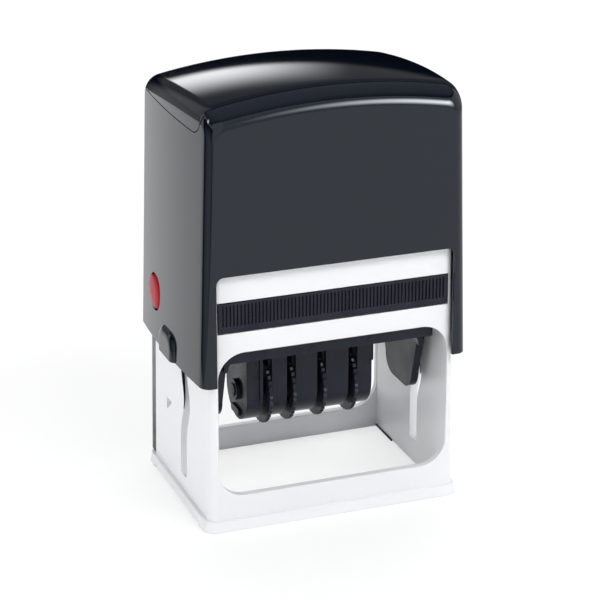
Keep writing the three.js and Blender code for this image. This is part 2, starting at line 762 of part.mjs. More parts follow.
// Least distance between turns of the wire, measured on its centre line
function reportSpringGap() {
  const height = ceiling - GAP * 2 - SPRING_WIRE - deckTop;
  const flattest = (height / SPRING_TURNS) * (1 - SPRING_EASE_SHARE);
  const samples = SPRING_TURNS * SPRING_STEPS;
  let least = Infinity;
  for (let i = 0; i + SPRING_STEPS <= samples; i += 1) {
    const low = i / samples;
    const high = (i + SPRING_STEPS) / samples;
    const ease = (share) => share - (Math.sin(2 * Math.PI * share) / (2 * Math.PI)) * SPRING_EASE_SHARE;
    least = Math.min(least, height * (ease(high) - ease(low)) - SPRING_WIRE);
  }
  console.log(`return spring: least gap between turns ${least.toFixed(2)} mm, end slope ${flattest.toFixed(2)} mm a turn`);
}

// Lock button: a domed head on a thin flange that stays behind the wall, turned about X

function makeButton() {
  const outer = coverOuterHalfAt(buttonZ);
  const seat = outer - BUTTON_LIP - BUTTON_SEAT_GAP;
  const back = seat - BUTTON_FLANGE_THICKNESS;
  const face = outer + BUTTON_PROUD;
  const flange = BUTTON_RADIUS + BUTTON_FLANGE;
  const profile = [
    new THREE.Vector2(0, back),
    new THREE.Vector2(flange, back),
    new THREE.Vector2(flange, seat),
    new THREE.Vector2(BUTTON_RADIUS, seat),
    new THREE.Vector2(BUTTON_RADIUS, face - BUTTON_EDGE),
    new THREE.Vector2(BUTTON_RADIUS - BUTTON_EDGE * BUTTON_EDGE_SHARE, face - BUTTON_EDGE * BUTTON_EDGE_SHARE),
    new THREE.Vector2(BUTTON_RADIUS - BUTTON_EDGE, face),
    new THREE.Vector2(BUTTON_RADIUS / 2, face + BUTTON_DOME * BUTTON_DOME_SHARE),
    new THREE.Vector2(0, face + BUTTON_DOME),
  ];
  const geometry = new THREE.LatheGeometry(profile, ROUND_SIDES);
  geometry.rotateZ(-Math.PI / 2);
  geometry.translate(0, buttonY, buttonZ);
  return toSolid(geometry);
}

// Die holder and all that it carries are drawn about its turning axis

const dieBottom = FACE_RISE - RUBBER_THICKNESS;
const plateBottom = dieBottom - TEXT_PLATE_THICKNESS;
const holderBottom = plateBottom - HOLDER_THICKNESS;
const bandOuter = HUB_RADIUS + GAP + BAND_THICKNESS;
const noseBandOuter = NOSE_RADIUS + GAP + BAND_THICKNESS;
const noseZ = FACE_RISE - noseBandOuter;
const wheelZ = -WHEEL_DROP;
const housingRadius = bandOuter + GAP + HOUSING_WALL;
const housingTop = holderBottom - GAP;

// Each hub runs from its rim to just short of the next rim, and carries one band
const housingLeft = -DATER_LENGTH / 2 - DATER_LEFT_LEAD;
const housingRight = housingLeft + DATER_LENGTH;
const wheelX = WHEEL_PLACE_SHARES.map((share) => housingLeft + DATER_LENGTH * share);
const wheels = wheelX.map((x, i) => {
  const isLast = i === wheelX.length - 1;
  const limit = isLast ? housingRight - HOUSING_END : wheelX[i + 1] - WHEEL_RIM / 2;
  const hubEnd = limit - AXLE_CLEARANCE;
  return { x, hubEnd, bandStart: x + WHEEL_RIM / 2 + GAP, bandEnd: hubEnd - GAP };
});
const dateStart = wheels[0].bandStart - GAP;
const dateEnd = wheels[wheels.length - 1].bandEnd + GAP;

function dateOpening(margin, halfDepth, z0, z1) {
  return box(dateStart - margin, dateEnd + margin, -halfDepth, halfDepth, z0, z1);
}

function makeHolder() {
  const half = plateHalf + HOLDER_RIM;
  const halfDepth = plateHalfDepth + HOLDER_DEPTH_RIM;
  const slab = prismZ(roundedRect(-half, half, -halfDepth, halfDepth, PLATE_CORNER), holderBottom, plateBottom);
  const roof = plateBottom - HOLDER_SKIN;
  const innerDepth = halfDepth - HOLDER_WALL;
  const housingHalf = housingRadius + GAP;
  const cheekInner = plateHalf - CHEEK_THICKNESS;
  const frontPocket = box(housingLeft, housingRight, -innerDepth, -housingHalf, holderBottom - OVERRUN, roof);
  const backPocket = box(housingLeft, housingRight, housingHalf, innerDepth, holderBottom - OVERRUN, roof);
  // The fillet stays clear of the dater
  const daterReach = Math.max(HOUSING_BOSS_RISE - housingLeft, housingRight + HOUSING_SHOULDER);
  const filletRadius = Math.min(CHEEK_FILLET, cheekInner - daterReach - GAP);
  const pocketEnd = cheekInner - filletRadius;
  const endPocket = (x0, x1) => box(x0, x1, -innerDepth, innerDepth, holderBottom - OVERRUN, roof);
  const rightPocket = endPocket(housingRight + HOUSING_SHOULDER, pocketEnd);
  const leftPocket = endPocket(-pocketEnd, housingLeft - HOUSING_BOSS_RISE);
  const topHalf = CHEEK_TOP_DEPTH / 2;
  const lowHalf = CHEEK_LOW_DEPTH / 2;
  const cheekOutline = new THREE.Shape();
  const bendZ = -CHEEK_REACH + CHEEK_CORNER;
  cheekOutline.moveTo(-topHalf, holderBottom + HOLDER_SKIN / 2);
  cheekOutline.lineTo(-lowHalf, bendZ);
  cheekOutline.absarc(-lowHalf + CHEEK_CORNER, bendZ, CHEEK_CORNER, Math.PI, Math.PI * 1.5);
  cheekOutline.absarc(lowHalf - CHEEK_CORNER, bendZ, CHEEK_CORNER, -Math.PI / 2, 0);
  cheekOutline.lineTo(topHalf, holderBottom + HOLDER_SKIN / 2);
  const cheek = prismX(cheekOutline, cheekInner, plateHalf);
  const fillet = new THREE.Shape();
  const filletRoot = CHEEK_THICKNESS / 2;
  fillet.moveTo(cheekInner + filletRoot, holderBottom + filletRoot);
  fillet.lineTo(cheekInner - filletRadius, holderBottom + filletRoot);
  fillet.lineTo(cheekInner - filletRadius, holderBottom);
  fillet.absarc(cheekInner - filletRadius, holderBottom - filletRadius, filletRadius, Math.PI / 2, 0, true);
  fillet.lineTo(cheekInner + filletRoot, holderBottom - filletRadius);
  const filletBar = prismY(fillet, -topHalf, topHalf);
  const boss = rodX(PIN_BOSS_RADIUS, cheekInner - PIN_BOSS_LENGTH, cheekInner + filletRoot, 0, 0);
  const side = join(cheek, filletBar, boss);
  const pinHole = rodX(PIN_RADIUS + GAP, pocketEnd - OVERRUN, half + OVERRUN, 0, 0);
  const noseSeat = rodX(NOSE_RADIUS + GAP, dateStart - NOSE_SEAT - GAP, dateEnd + NOSE_SEAT + GAP, 0, noseZ);
  let holder = cut(slab, frontPocket, backPocket, rightPocket, leftPocket);
  holder = join(holder, side, mirrorX(side));
  return cut(
    holder,
    pinHole,
    mirrorX(pinHole),
    dateOpening(0, beltHalfAt(holderBottom) + GAP, holderBottom - OVERRUN, plateBottom + OVERRUN),
    noseSeat,
    box(
      dateStart - NOSE_SEAT - GAP,
      dateEnd + NOSE_SEAT + GAP,
      -NOSE_RADIUS - GAP,
      NOSE_RADIUS + GAP,
      noseZ,
      plateBottom + OVERRUN,
    ),
  );
}

// Half the width of a band where it passes height z
function beltHalfAt(z) {
  const share = (z - wheelZ) / (noseZ - wheelZ);
  const sine = (bandOuter - noseBandOuter) / (noseZ - wheelZ);
  const radius = bandOuter + (noseBandOuter - bandOuter) * share;
  return radius / Math.sqrt(1 - sine * sine);
}

function makeTextPlate() {
  const outline = roundedRect(-plateHalf, plateHalf, -plateHalfDepth, plateHalfDepth, PLATE_CORNER);
  const seat = NOSE_SEAT + GAP;
  return cut(
    prismZ(outline, plateBottom, dieBottom),
    dateOpening(0, noseBandOuter + GAP, plateBottom - OVERRUN, dieBottom + OVERRUN),
    dateOpening(seat, NOSE_RADIUS + GAP, plateBottom - OVERRUN, dieBottom + OVERRUN),
  );
}

function makeRubberDie() {
  const sheetTop = dieBottom + RUBBER_SHEET;
  const outline = roundedRect(-plateHalf, plateHalf, -plateHalfDepth, plateHalfDepth, PLATE_CORNER);
  const frameX = plateHalf - RUBBER_MARGIN;
  const frameY = plateHalfDepth - RUBBER_MARGIN;
  const frameRoot = dieBottom + RUBBER_SHEET / 2;
  const border = cut(
    box(-frameX, frameX, -frameY, frameY, frameRoot, FACE_RISE),
    box(-frameX + RUBBER_LINE, frameX - RUBBER_LINE, -frameY + RUBBER_LINE, frameY - RUBBER_LINE, 0, FACE_RISE * 2),
  );
  const openDepth = noseBandOuter + GAP;
  const around = dateOpening(RUBBER_LINE, openDepth + RUBBER_LINE, frameRoot, FACE_RISE);
  return cut(
    join(prismZ(outline, dieBottom, sheetTop), border, around),
    dateOpening(0, openDepth, 0, FACE_RISE * 2),
  );
}

function makeHousing() {
  const outline = (radius, top) => {
    const shape = new THREE.Shape();
    shape.moveTo(-radius, top);
    shape.lineTo(-radius, wheelZ);
    shape.absarc(0, wheelZ, radius, Math.PI, Math.PI * 2);
    shape.lineTo(radius, top);
    return shape;
  };
  const body = prismX(outline(housingRadius, housingTop), housingLeft, housingRight);
  const innerRadius = housingRadius - HOUSING_WALL;
  const hollow = prismX(outline(innerRadius, housingTop + OVERRUN), housingLeft + HOUSING_END, housingRight - HOUSING_END);
  const reach = housingRadius + OVERRUN;
  const slots = wheelX.map((x) => {
    const x0 = x - WHEEL_RIM / 2 - HOUSING_SLOT_GAP;
    const x1 = x + WHEEL_RIM / 2 + GAP;
    return box(x0, x1, -reach, reach, wheelZ - reach, -HOUSING_SLOT_TOP);
  });
  const root = HOUSING_END / 2;
  const shoulderHalfDepth = HOUSING_SHOULDER_DEPTH / 2;
  const shoulder = prismX(
    roundedRect(-shoulderHalfDepth, shoulderHalfDepth, -HOUSING_SHOULDER_BOTTOM, housingTop, HOUSING_SHOULDER_CORNER),
    housingRight - root,
    housingRight + HOUSING_SHOULDER,
  );
  const axleBoss = rodX(HOUSING_BOSS_RADIUS, housingLeft - HOUSING_BOSS_RISE, housingLeft + root, 0, wheelZ);
  const lugHalf = HOUSING_LUG_DEPTH / 2;
  const lugTop = wheelZ - HOUSING_LUG_BELOW_AXLE;
  const lugShape = roundedRect(-lugHalf, lugHalf, lugTop - HOUSING_LUG_HEIGHT, lugTop, HOUSING_LUG_CORNER);
  const leftLug = prismX(lugShape, housingLeft - HOUSING_LUG_RISE, housingLeft + root);
  const rightLug = prismX(lugShape, housingRight - root, housingRight + HOUSING_LUG_RISE);
  const seamX = housingLeft + HOUSING_SEAM_PLACE;
  const seam = (y0, y1) => box(seamX, seamX + HOUSING_SEAM, y0, y1, wheelZ - HOUSING_SEAM_REACH, -HOUSING_SLOT_TOP);
  const seamDepth = HOUSING_WALL / 2;
  const bore = rodX(AXLE_RADIUS + GAP, housingLeft - OVERRUN, housingRight + OVERRUN, 0, wheelZ);
  return cut(
    join(body, shoulder, axleBoss, leftLug, rightLug),
    hollow,
    bore,
    seam(-reach, -housingRadius + seamDepth),
    seam(housingRadius - seamDepth, reach),
    ...slots,
  );
}

function makeWheel({ x, hubEnd }) {
  const points = [];
  for (let i = 0; i < WHEEL_TEETH * 2; i += 1) {
    const radius = i % 2 === 0 ? WHEEL_RADIUS : WHEEL_RADIUS - WHEEL_TOOTH;
    const angle = (Math.PI * i) / WHEEL_TEETH;
    points.push([radius * Math.cos(angle), wheelZ + radius * Math.sin(angle)]);
  }
  const rim = prismX(polygon(points), x - WHEEL_RIM / 2, x + WHEEL_RIM / 2);
  const hub = rodX(HUB_RADIUS, x, hubEnd, 0, wheelZ);
  const bore = rodX(AXLE_RADIUS + AXLE_CLEARANCE, x - OVERRUN, hubEnd + OVERRUN, 0, wheelZ);
  return cut(join(rim, hub), bore);
}

// A belt round the hub and the nose bar: two arcs and the two lines that touch both
function makeBand({ bandStart, bandEnd }) {
  const span = noseZ - wheelZ;
  const belt = (low, high) => {
    const lean = Math.asin((low - high) / span);
    const shape = new THREE.Shape();
    shape.absarc(0, wheelZ, low, Math.PI - lean, Math.PI * 2 + lean);
    shape.absarc(0, noseZ, high, lean, Math.PI - lean);
    return shape;
  };
  const outer = prismX(belt(bandOuter, noseBandOuter), bandStart, bandEnd);
  const inner = belt(bandOuter - BAND_THICKNESS, noseBandOuter - BAND_THICKNESS);
  return cut(outer, prismX(inner, bandStart - OVERRUN, bandEnd + OVERRUN));
}

function makePin() {
  const start = plateHalf - CHEEK_THICKNESS - PIN_BOSS_LENGTH;
  const end = coverOuterHalfAt(pivotZ) + BOSS_RISE - PIN_SINK;
  return rodX(PIN_RADIUS, start, end, 0, 0);
}

// Ink pad cassette: a shallow tray, open below for the pad, with a ribbed front to pull it by

function makeTray() {
  const half = trayHalf;
  const front = -baseHalfDepth;
  const top = trayTop;
  const body = box(-half, half, front + GRIP_DEPTH, trayBack, trayBottom, top);
  const padHalf = half - TRAY_SIDE_WALL;
  const padFront = front + TRAY_FRONT_WALL;
  const padBack = trayBack - TRAY_SIDE_WALL;
  const padTop = trayBottom + FELT_RECESS + FELT_THICKNESS;
  const padRoom = box(-padHalf, padHalf, padFront, padBack, trayBottom - OVERRUN, padTop);
  const topRoom = box(-padHalf, padHalf, padFront, padBack, padTop + TRAY_FLOOR, top + OVERRUN);
  const rims = [
    box(-half, half, front, front + GRIP_DEPTH * 2, trayBottom, trayBottom + GRIP_BOTTOM_RIM),
    box(-half, half, front, front + GRIP_DEPTH * 2, top - GRIP_TOP_RIM, top),
    box(-half, -half + GRIP_END_RIM, front, front + GRIP_DEPTH * 2, trayBottom, top),
    box(half - GRIP_END_RIM, half, front, front + GRIP_DEPTH * 2, trayBottom, top),
  ];
  const ribs = [];
  const ribCount = Math.floor(((half - GRIP_END_RIM) * 2) / GRIP_PITCH);
  const ribHalf = (GRIP_PITCH * GRIP_RIB_SHARE) / 2;
  const ribLow = trayBottom + GRIP_BOTTOM_RIM / 2;
  const ribHigh = top - GRIP_TOP_RIM / 2;
  for (let i = 0; i < ribCount; i += 1) {
    const x = GRIP_PITCH * (i - (ribCount - 1) / 2);
    ribs.push(box(x - ribHalf, x + ribHalf, front, front + GRIP_DEPTH * 2, ribLow, ribHigh));
  }
  return cut(join(body, ...rims, ...ribs), padRoom, topRoom);
}

function makeFelt() {
  const half = trayHalf - TRAY_SIDE_WALL - GAP;
  const front = -baseHalfDepth + TRAY_FRONT_WALL + GAP;
  const back = trayBack - TRAY_SIDE_WALL - GAP;
  const bottom = trayBottom + FELT_RECESS;
  return box(-half, half, front, back, bottom, bottom + FELT_THICKNESS);
}

// Materials

function material(color, roughness, metalness = 0) {
  return new THREE.MeshStandardMaterial({ color, roughness, metalness });
}

const whitePlastic = material(0xeef0f3, 0.3);
const blackPlastic = material(0x14161a, 0.18);
const clearPlastic = material(0x1d2024, 0.08);
const darkPlastic = material(0x1b1d22, 0.42);
const redPlastic = material(0xb01c2e, 0.25);
const steel = material(0xb4b7bb, 0.3, 1);
const rubber = material(0x8c3b34, 0.8);
const bandRubber = material(0x2a2a2c, 0.75);
const felt = material(0x1c1d3a, 0.95);

function part(name, shape, look) {
  const geometry = shape instanceof THREE.BufferGeometry ? shape : toGeometry(shape);
  const mesh = new THREE.Mesh(geometry, look);
  mesh.name = name;
  return mesh;
}

// Assembly

const stamp = new THREE.Group();
stamp.add(part("base_frame", makeBase(), whitePlastic));
stamp.add(part("cover_shell", makeCover(), blackPlastic));
stamp.add(part("index_window", makeIndexWindow(), clearPlastic));
stamp.add(part("return_spring", makeSpring(), steel));
const button = makeButton();
stamp.add(part("lock_button_right", button, redPlastic));
stamp.add(part("lock_button_left", mirrorX(button), redPlastic));
stamp.add(part("ink_pad_tray", makeTray(), darkPlastic));
stamp.add(part("ink_pad_felt", makeFelt(), felt));

const carrier = new THREE.Group();
carrier.position.set(0, PIVOT_Y, pivotZ);
carrier.add(part("die_holder", makeHolder(), darkPlastic));
carrier.add(part("text_plate", makeTextPlate(), darkPlastic));
carrier.add(part("rubber_die", makeRubberDie(), rubber));
carrier.add(part("dater_housing", makeHousing(), darkPlastic));
const axleStart = housingLeft - HOUSING_BOSS_RISE - GAP;
const axleEnd = housingRight + HOUSING_LUG_RISE;
carrier.add(part("wheel_axle", rodX(AXLE_RADIUS, axleStart, axleEnd, 0, wheelZ), steel));
carrier.add(part("nose_bar", rodX(NOSE_RADIUS, dateStart - NOSE_SEAT, dateEnd + NOSE_SEAT, 0, noseZ), steel));
wheels.forEach((wheel, i) => {
  carrier.add(part(`date_wheel_${i + 1}`, makeWheel(wheel), darkPlastic));
  carrier.add(part(`date_band_${i + 1}`, makeBand(wheel), bandRubber));
});
const pin = makePin();
carrier.add(part("pivot_pin_right", pin, steel));
carrier.add(part("pivot_pin_left", mirrorX(pin), steel));
stamp.add(carrier);

reportSpringGap();

export default stamp;
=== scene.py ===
"""A self-inking date stamp on a pale floor: the black cover, the white base frame, the cassette,
the die holder and its four date wheels. Places are in metres, with the front towards -Y, and
the sizes of the pieces are in millimetres."""

import math

import bmesh
import bpy
from bpy.props import FloatProperty, FloatVectorProperty, IntProperty, PointerProperty
from mathutils import Matrix, Vector


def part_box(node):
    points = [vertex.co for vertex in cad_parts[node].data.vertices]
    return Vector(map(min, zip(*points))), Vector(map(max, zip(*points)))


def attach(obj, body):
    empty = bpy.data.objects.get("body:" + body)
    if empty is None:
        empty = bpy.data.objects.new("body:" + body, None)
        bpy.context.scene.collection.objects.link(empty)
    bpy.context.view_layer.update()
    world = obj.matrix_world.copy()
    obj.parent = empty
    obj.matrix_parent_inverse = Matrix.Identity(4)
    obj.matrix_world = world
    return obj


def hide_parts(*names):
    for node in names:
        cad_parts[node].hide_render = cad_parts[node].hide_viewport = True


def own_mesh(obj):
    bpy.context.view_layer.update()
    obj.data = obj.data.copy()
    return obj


bl_info = {
    "name": "Date Stamp",
    "version": (1, 0, 0),
    "blender": (4, 5, 0),
    "location": "3D View > Sidebar > Date Stamp",
    "description": "Models a self-inking date stamp over its packed frame",
    "category": "Object",
}

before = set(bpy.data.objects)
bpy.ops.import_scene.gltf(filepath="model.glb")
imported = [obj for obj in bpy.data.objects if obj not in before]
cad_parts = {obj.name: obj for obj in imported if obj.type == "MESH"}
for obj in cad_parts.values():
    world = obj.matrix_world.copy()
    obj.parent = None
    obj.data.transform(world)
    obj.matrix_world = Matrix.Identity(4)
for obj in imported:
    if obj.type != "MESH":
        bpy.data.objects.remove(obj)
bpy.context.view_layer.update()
MM = 0.001

# Camera, as worked out from the straight edges of the photograph
CAMERA_EYE = Vector((-0.2019, -0.5385, 0.2732))
CAMERA_TARGET = Vector((-0.00015, 0.0, 0.05))
CAMERA_LENS = 142.9
CAMERA_SENSOR = 36.0
CAMERA_REACH = 50.0

# Black flag behind the stamp, and the band of light across it that the glossy top mirrors
FLAG_LOW = (-0.36, 0.380, 0.030)
FLAG_HIGH = (0.90, 0.385, 0.85)
BAND_FOOT = (0.151, 0.174)
BAND_HEAD = (0.254, 0.180)
BAND_LEFT = (0.022, 0.048)
BAND_RIGHT = (0.178, 0.070)
BAND_STRENGTH = 2.7
FLAG_HAZE = 0.11
FLAG_SIDE = 0.32
FLAG_SIDE_FADE = (-0.06, -0.16)

# Two whites between which the weave of a lit cloth varies
CLOTH_WHITES = ((1.0, 1.0, 1.0), (0.97, 0.98, 1.0))

# The slight blue of the reflections in the black plastic
GLOSS_TINT = (0.90, 0.95, 1.0, 1.0)

# Softboxes and cards seen in reflections only: middle, half sizes, strength, how fast each fades,
# and the faint light that reaches past its edge
CARDS = {
    "front_box": ((0.85, -1.30, 0.42), (0.74, 0.001, 0.50), 26.0, 1.7, 0.7),
    "side_box": ((-0.80, -0.12, 0.72), (0.001, 0.27, 0.27), 16.0, 1.2),
    "ceiling_card": ((0.2, 0.05, 1.20), (1.5, 1.5, 0.001), 0.5, 0.3),
    "corner_card": ((-0.141, -0.10, 0.04), (0.001, 0.15, 0.14), 0.7, 0.7),
}

# A card is flat along an axis thinner than this, and its light stays even along that axis
CARD_THIN = 0.01
CARD_EVEN = 10.0

# Lamps: length and width, power in watts, and place
LAMPS = {
    "left_lamp": ((0.5, 0.5), 2.8, (-0.9, -0.2, 0.42)),
    "front_lamp": ((0.8, 0.4), 8.1, (0.35, -0.75, 0.95)),
    "back_lamp": ((0.7, 0.7), 4.6, (0.2, 0.45, 0.95)),
}
LAMP_TARGET = (0, 0, 0.05)

# The room's light, the half size of the floor, and how far the floor turns white where it is seen
WHITE_LIGHT = (1.0, 1.0, 1.0, 1.0)
ROOM_LIGHT = (0.48, 0.485, 0.50, 1.0)
FLOOR_HALF = 4.0
FLOOR_SHARE = 0.66

# Painted contact shadow on the corner strips: heights between which they lighten, and the shares of
# their grey at both
STRIP_SHADOW_FADE = (0.008, 0.036)
STRIP_SHADOW_SHARES = (0.35, 1.3)

# Angles and distances used to clean and round meshes. The merge is in metres, the other
# distances are in millimetres
MERGE_DISTANCE = 0.000002
SEAM_DISTANCE = 0.0001
FLAT_ANGLE = math.radians(0.4)
SHARP_ANGLE = math.radians(32)
ROUNDED_ANGLE = math.radians(40)
PARALLEL = 0.9
NEAR = 0.01

# Shares of the half outline of the cover taken by its end wall, and by that and the shoulder
WALL_SHARE = 0.1
SHOULDER_SHARE = 0.5

# Share of the squared half depth at which a bowed end has the cover's named length
BOW_SHARE = 0.45

# Grid of the cover: sections in a rounding and in a corner, space between the others, columns
ARC_STEPS = 12
CORNER_STEPS = 9
STATION_PITCH = 2.0
COLUMNS = 80

# Cover: overrun of its cutters, gaps at the window's recess and the button holes, boss root, edges
FOOT_OVERRUN = 3.0
TOP_OVERRUN = 5.0
RECESS_GAP = 0.3
HOLE_GAP = 0.5
BOSS_ROOT = 1.0
COVER_ROUNDING = 0.3
CAP_ROUNDING = 0.22

# Hollow of the cover: how far its roof lies under the ceiling, and its corner radius
ROOM_DROP = 8.2
ROOM_CORNER = 1.2

# Pocket in the roof for the crown of the base frame
CROWN_SIDE = 6.2
CROWN_FRONT = 0.4
CROWN_BACK = 15.4
CROWN_DROP = 1.4

# Pocket in the roof for the front wall of the base frame
LIP_SIDE = 3.5
LIP_BACK = -22.0
LIP_DROP = 1.6

# Pocket in the roof for the return spring, and the post that holds the spring
SPRING_GAP = 1.4
SPRING_REACH = 7.0
SPRING_RISE = 0.3
POST_HALF = 4.2
POST_CORNER = 4.1
POST_DEPTH = 5.0
POST_RISE = 0.8

# Corner strips, grey strips of painted shade in the rear rebates: depth of their rebate, thickness and
# rounding, and the height of the leaning wall
REBATE_DEPTH = 0.53
STRIP_THICKNESS = 0.5
STRIP_ROUNDING = 0.12
WALL_HEIGHT = 70.0

# Guide slot: foot and height of its bend, how far it swings to the front, and its back edge
BEND_FOOT = 18.5
BEND_HEIGHT = 18.5
BEND_SWING = 1.2
SLOT_BACK = -0.58

# Painted shade of the guide slot, a thin dark sheet on its back edge: rows, greatest depth, its share
# at the foot, growth, stand and thickness
SLOT_SHADE_ROWS = 24
SLOT_SHADE_DEPTH = 0.85
SLOT_SHADE_FOOT_SHARE = 0.15
SLOT_SHADE_GROWTH = 1.6
SLOT_SHADE_PROUD = 0.02
SLOT_SHADE_THICKNESS = 0.16

# Painted shade along the inner foot of an end wall, a dark strip: its two corners and its rounding
FOOT_SHADE_LOW = (30.72, 11.0, 0.12)
FOOT_SHADE_HIGH = (31.05, 22.4, 0.72)
FOOT_SHADE_ROUNDING = 0.06

# Lock button: flange thickness, its rim as steps in from the side and under the face, face dome
FLANGE_THICKNESS = 0.4
HEAD_RIM = ((0.0, 0.65), (0.12, 0.32), (0.45, 0.16))
HEAD_DOME = 0.04

# Return spring: steps in one turn and sides of the wire
SPRING_STEPS = 32
WIRE_SIDES = 12


def length(name, description, default):
    """A size in millimetres, shown in the sidebar."""
    return FloatProperty(name=name, description=description, default=default, min=0.0)


def colour(name, description, default):
    """A plain surface colour, shown in the sidebar."""
    return FloatVectorProperty(
        name=name,
        description=description,
        default=default,
        subtype="COLOR",
        size=3,
        min=0.0,
        max=1.0,
    )


class StampCoverSizes(bpy.types.PropertyGroup):
    """Sizes of the cover, in millimetres."""

    length: length("Length", "Outside length at the foot of the cover", 72.0)
    depth: length("Depth", "Outside depth", 52.2)
    draft: length("Draft", "How far each end leans in on its way up", 2.0)
    bottom: length("Bottom", "Height of the foot of the cover at rest", 40.2)
    top: length("Top", "Height of the crown", 114.2)
    corner: length("Corner", "Radius of the upright corners", 2.4)
    bow: length("Bow", "How far each end swells out between its corners", 1.2)
    crown: length("Crown radius", "Radius of the arch over the top", 160.0)
    shoulder: length("Shoulder", "Radius between the ends and the top", 4.5)
    front_edge: length("Front edge", "Radius between the front and the top", 6.0)
    back_edge: length("Back edge", "Radius between the back and the top", 4.0)
    fall: length("Fall", "Radius of the curve in which the top falls to the back", 250.0)
    crest: length("Crest", "How far in front of the middle the top starts to fall", 20.0)
    end_wall: length("End wall", "Thickness of each end wall", 1.5)
    inner_draft: length("Inner draft", "How far the inside leans in", 1.4)
    front_wall: length("Front wall", "Thickness of the front and back walls", 1.2)
    window_length: length("Cut-out length", "Length of the cut-outs for the base", 63.2)
    window_top: length("Cut-out top", "Height of the top of the cut-outs", 69.2)
    window_corner: length("Cut-out corner", "Corner radius of the cut-outs", 2.0)
    ceiling: length("Ceiling", "Height of the inside", 107.8)
    boss_length: length("Boss length", "Length of the pivot boss from front to back", 12.8)
    boss_tip: length("Boss tip", "How far the face of the pivot boss lies from the middle", 37.5)
    boss_edge: length("Boss edge", "Rounding of the boss towards its face", 2.4)
    boss_corner: length("Boss corner", "Radius of the upper corners of the boss", 4.6)
    boss_y: length("Boss place", "How far the boss lies in front of the middle", 0.8)
    boss_top: length("Boss top", "Height of the top of the boss", 47.9)


class StampCapSizes(bpy.types.PropertyGroup):
    """Sizes of the clear index window, in millimetres."""

    thickness: length("Thickness", "Thickness of the clear window", 1.2)
    front: length("Front", "How far its front edge lies in front of the middle", 21.9)
    back: length("Back", "How far its back edge lies behind the middle", 21.6)
    bottom: length("Bottom", "Height of the lower edge of its flanges", 104.3)
    corner: length("Corner", "Radius of the lower front corner of a flange", 4.9)
    seam: length("Seam", "Gap to the cover all round", 0.25)


class StampPartSizes(bpy.types.PropertyGroup):
    """Sizes of the buttons, the spring and the strips and sheets of painted shade on the base frame,
    in millimetres.
    """

    button_y: length("Button place", "How far the lock buttons lie behind the middle", 11.2)
    button_z: length("Button height", "Height of the middle of the lock buttons", 53.2)
    button_radius: length("Button radius", "Radius of the head of a lock button", 4.5)
    spring_radius: length("Spring radius", "Radius of the middle of the wire's coils", 5.6)
    spring_wire: length("Spring wire", "Diameter of the wire", 1.1)
    spring_turns: IntProperty(name="Spring turns", description="Turns of the wire", default=6, min=2)
    # The corner strips are grey strips of painted shade in the rear rebates
    strip_width: length("Strip width", "Width of the strip in each rear corner of the base", 3.35)
    strip_back: length("Strip place", "How far the back of the strips lies behind the middle", 24.7)
    strip_low: length("Strip foot", "Height of the lower end of the corner strips", 2.9)
    strip_high: length("Strip top", "Height of the upper end of the corner strips", 52.0)
    wall_face: length("Wall face", "How far an end wall's face lies from the middle at its foot", 33.6)
    wall_lean: length("Wall lean", "How far an end wall leans in from its foot to its top", 1.3)
    # Ends of the dark sheet of painted shade on the back edge of the guide slot
    slot_shade_low: length("Liner foot", "Height of the lower end of the guide slot's liner", 25.5)
    slot_shade_high: length("Liner top", "Height of the upper end of the guide slot's liner", 44.0)


class StampColours(bpy.types.PropertyGroup):
    """Colours of the stamp."""

    black: colour("Cover", "Gloss black plastic of the cover", (0.0015, 0.0034, 0.0085))
    white: colour("Base", "White plastic of the base frame", (0.80, 0.805, 0.815))
    dark: colour("Holder", "Satin black plastic of the moving parts", (0.007, 0.009, 0.018))
    # The corner strips' grey is painted shade of the rear rebates
    strip: colour("Corner strip", "Grey plastic of the corner strips", (0.155, 0.16, 0.165))
    red: colour("Lock button", "Red plastic of the lock buttons", (0.36, 0.007, 0.020))
    rubber: colour("Die", "Rubber of the printing die", (0.30, 0.06, 0.05))
    felt: colour("Pad", "Inked felt of the pad", (0.015, 0.015, 0.05))
    steel: colour("Steel", "Bright steel of the pins and the spring", (0.60, 0.61, 0.62))
    axle: colour("Axle", "Blackened steel of the dater's axle and nose", (0.03, 0.032, 0.038))
    floor: colour("Floor", "Pale floor and backdrop", (0.96, 0.96, 0.96))


# Materials


def shader_of(name, base, roughness, metallic=0.0):
    """A new material with its node tree, its shader and its Object coordinates."""
    material = bpy.data.materials.new(name)
    material.use_nodes = True
    tree = material.node_tree
    shader = tree.nodes["Principled BSDF"]
    shader.inputs["Base Color"].default_value = (*base, 1.0)
    shader.inputs["Roughness"].default_value = roughness
    shader.inputs["Metallic"].default_value = metallic
    place = tree.nodes.new("ShaderNodeTexCoord")
    return material, tree, shader, place.outputs["Object"]


def noise(tree, place, scale, detail=3.0, stretch=(1.0, 1.0, 1.0)):
    """A noise pattern on the piece, stretched along its axes."""
    mapping = tree.nodes.new("ShaderNodeMapping")
    mapping.inputs["Scale"].default_value = stretch
    texture = tree.nodes.new("ShaderNodeTexNoise")
    texture.inputs["Scale"].default_value = scale
    texture.inputs["Detail"].default_value = detail
    tree.links.new(place, mapping.inputs["Vector"])
    tree.links.new(mapping.outputs["Vector"], texture.inputs["Vector"])
    return texture.outputs["Fac"]


def spread(tree, value, low, high):
    """Maps the middle of a pattern, from 0.3 to 0.7, onto the range from low to high."""
    node = tree.nodes.new("ShaderNodeMapRange")
    node.inputs["From Min"].default_value = 0.3
    node.inputs["From Max"].default_value = 0.7
    node.inputs["To Min"].default_value = low
    node.inputs["To Max"].default_value = high
    tree.links.new(value, node.inputs["Value"])
    return node.outputs["Result"]


def shades(tree, value, dark, light):
    """Mixes two colours by a pattern."""
    node = tree.nodes.new("ShaderNodeMix")
    node.data_type = "RGBA"
    node.inputs["A"].default_value = (*dark, 1.0)
    node.inputs["B"].default_value = (*light, 1.0)
    tree.links.new(value, node.inputs["Factor"])
    return node.outputs["Result"]


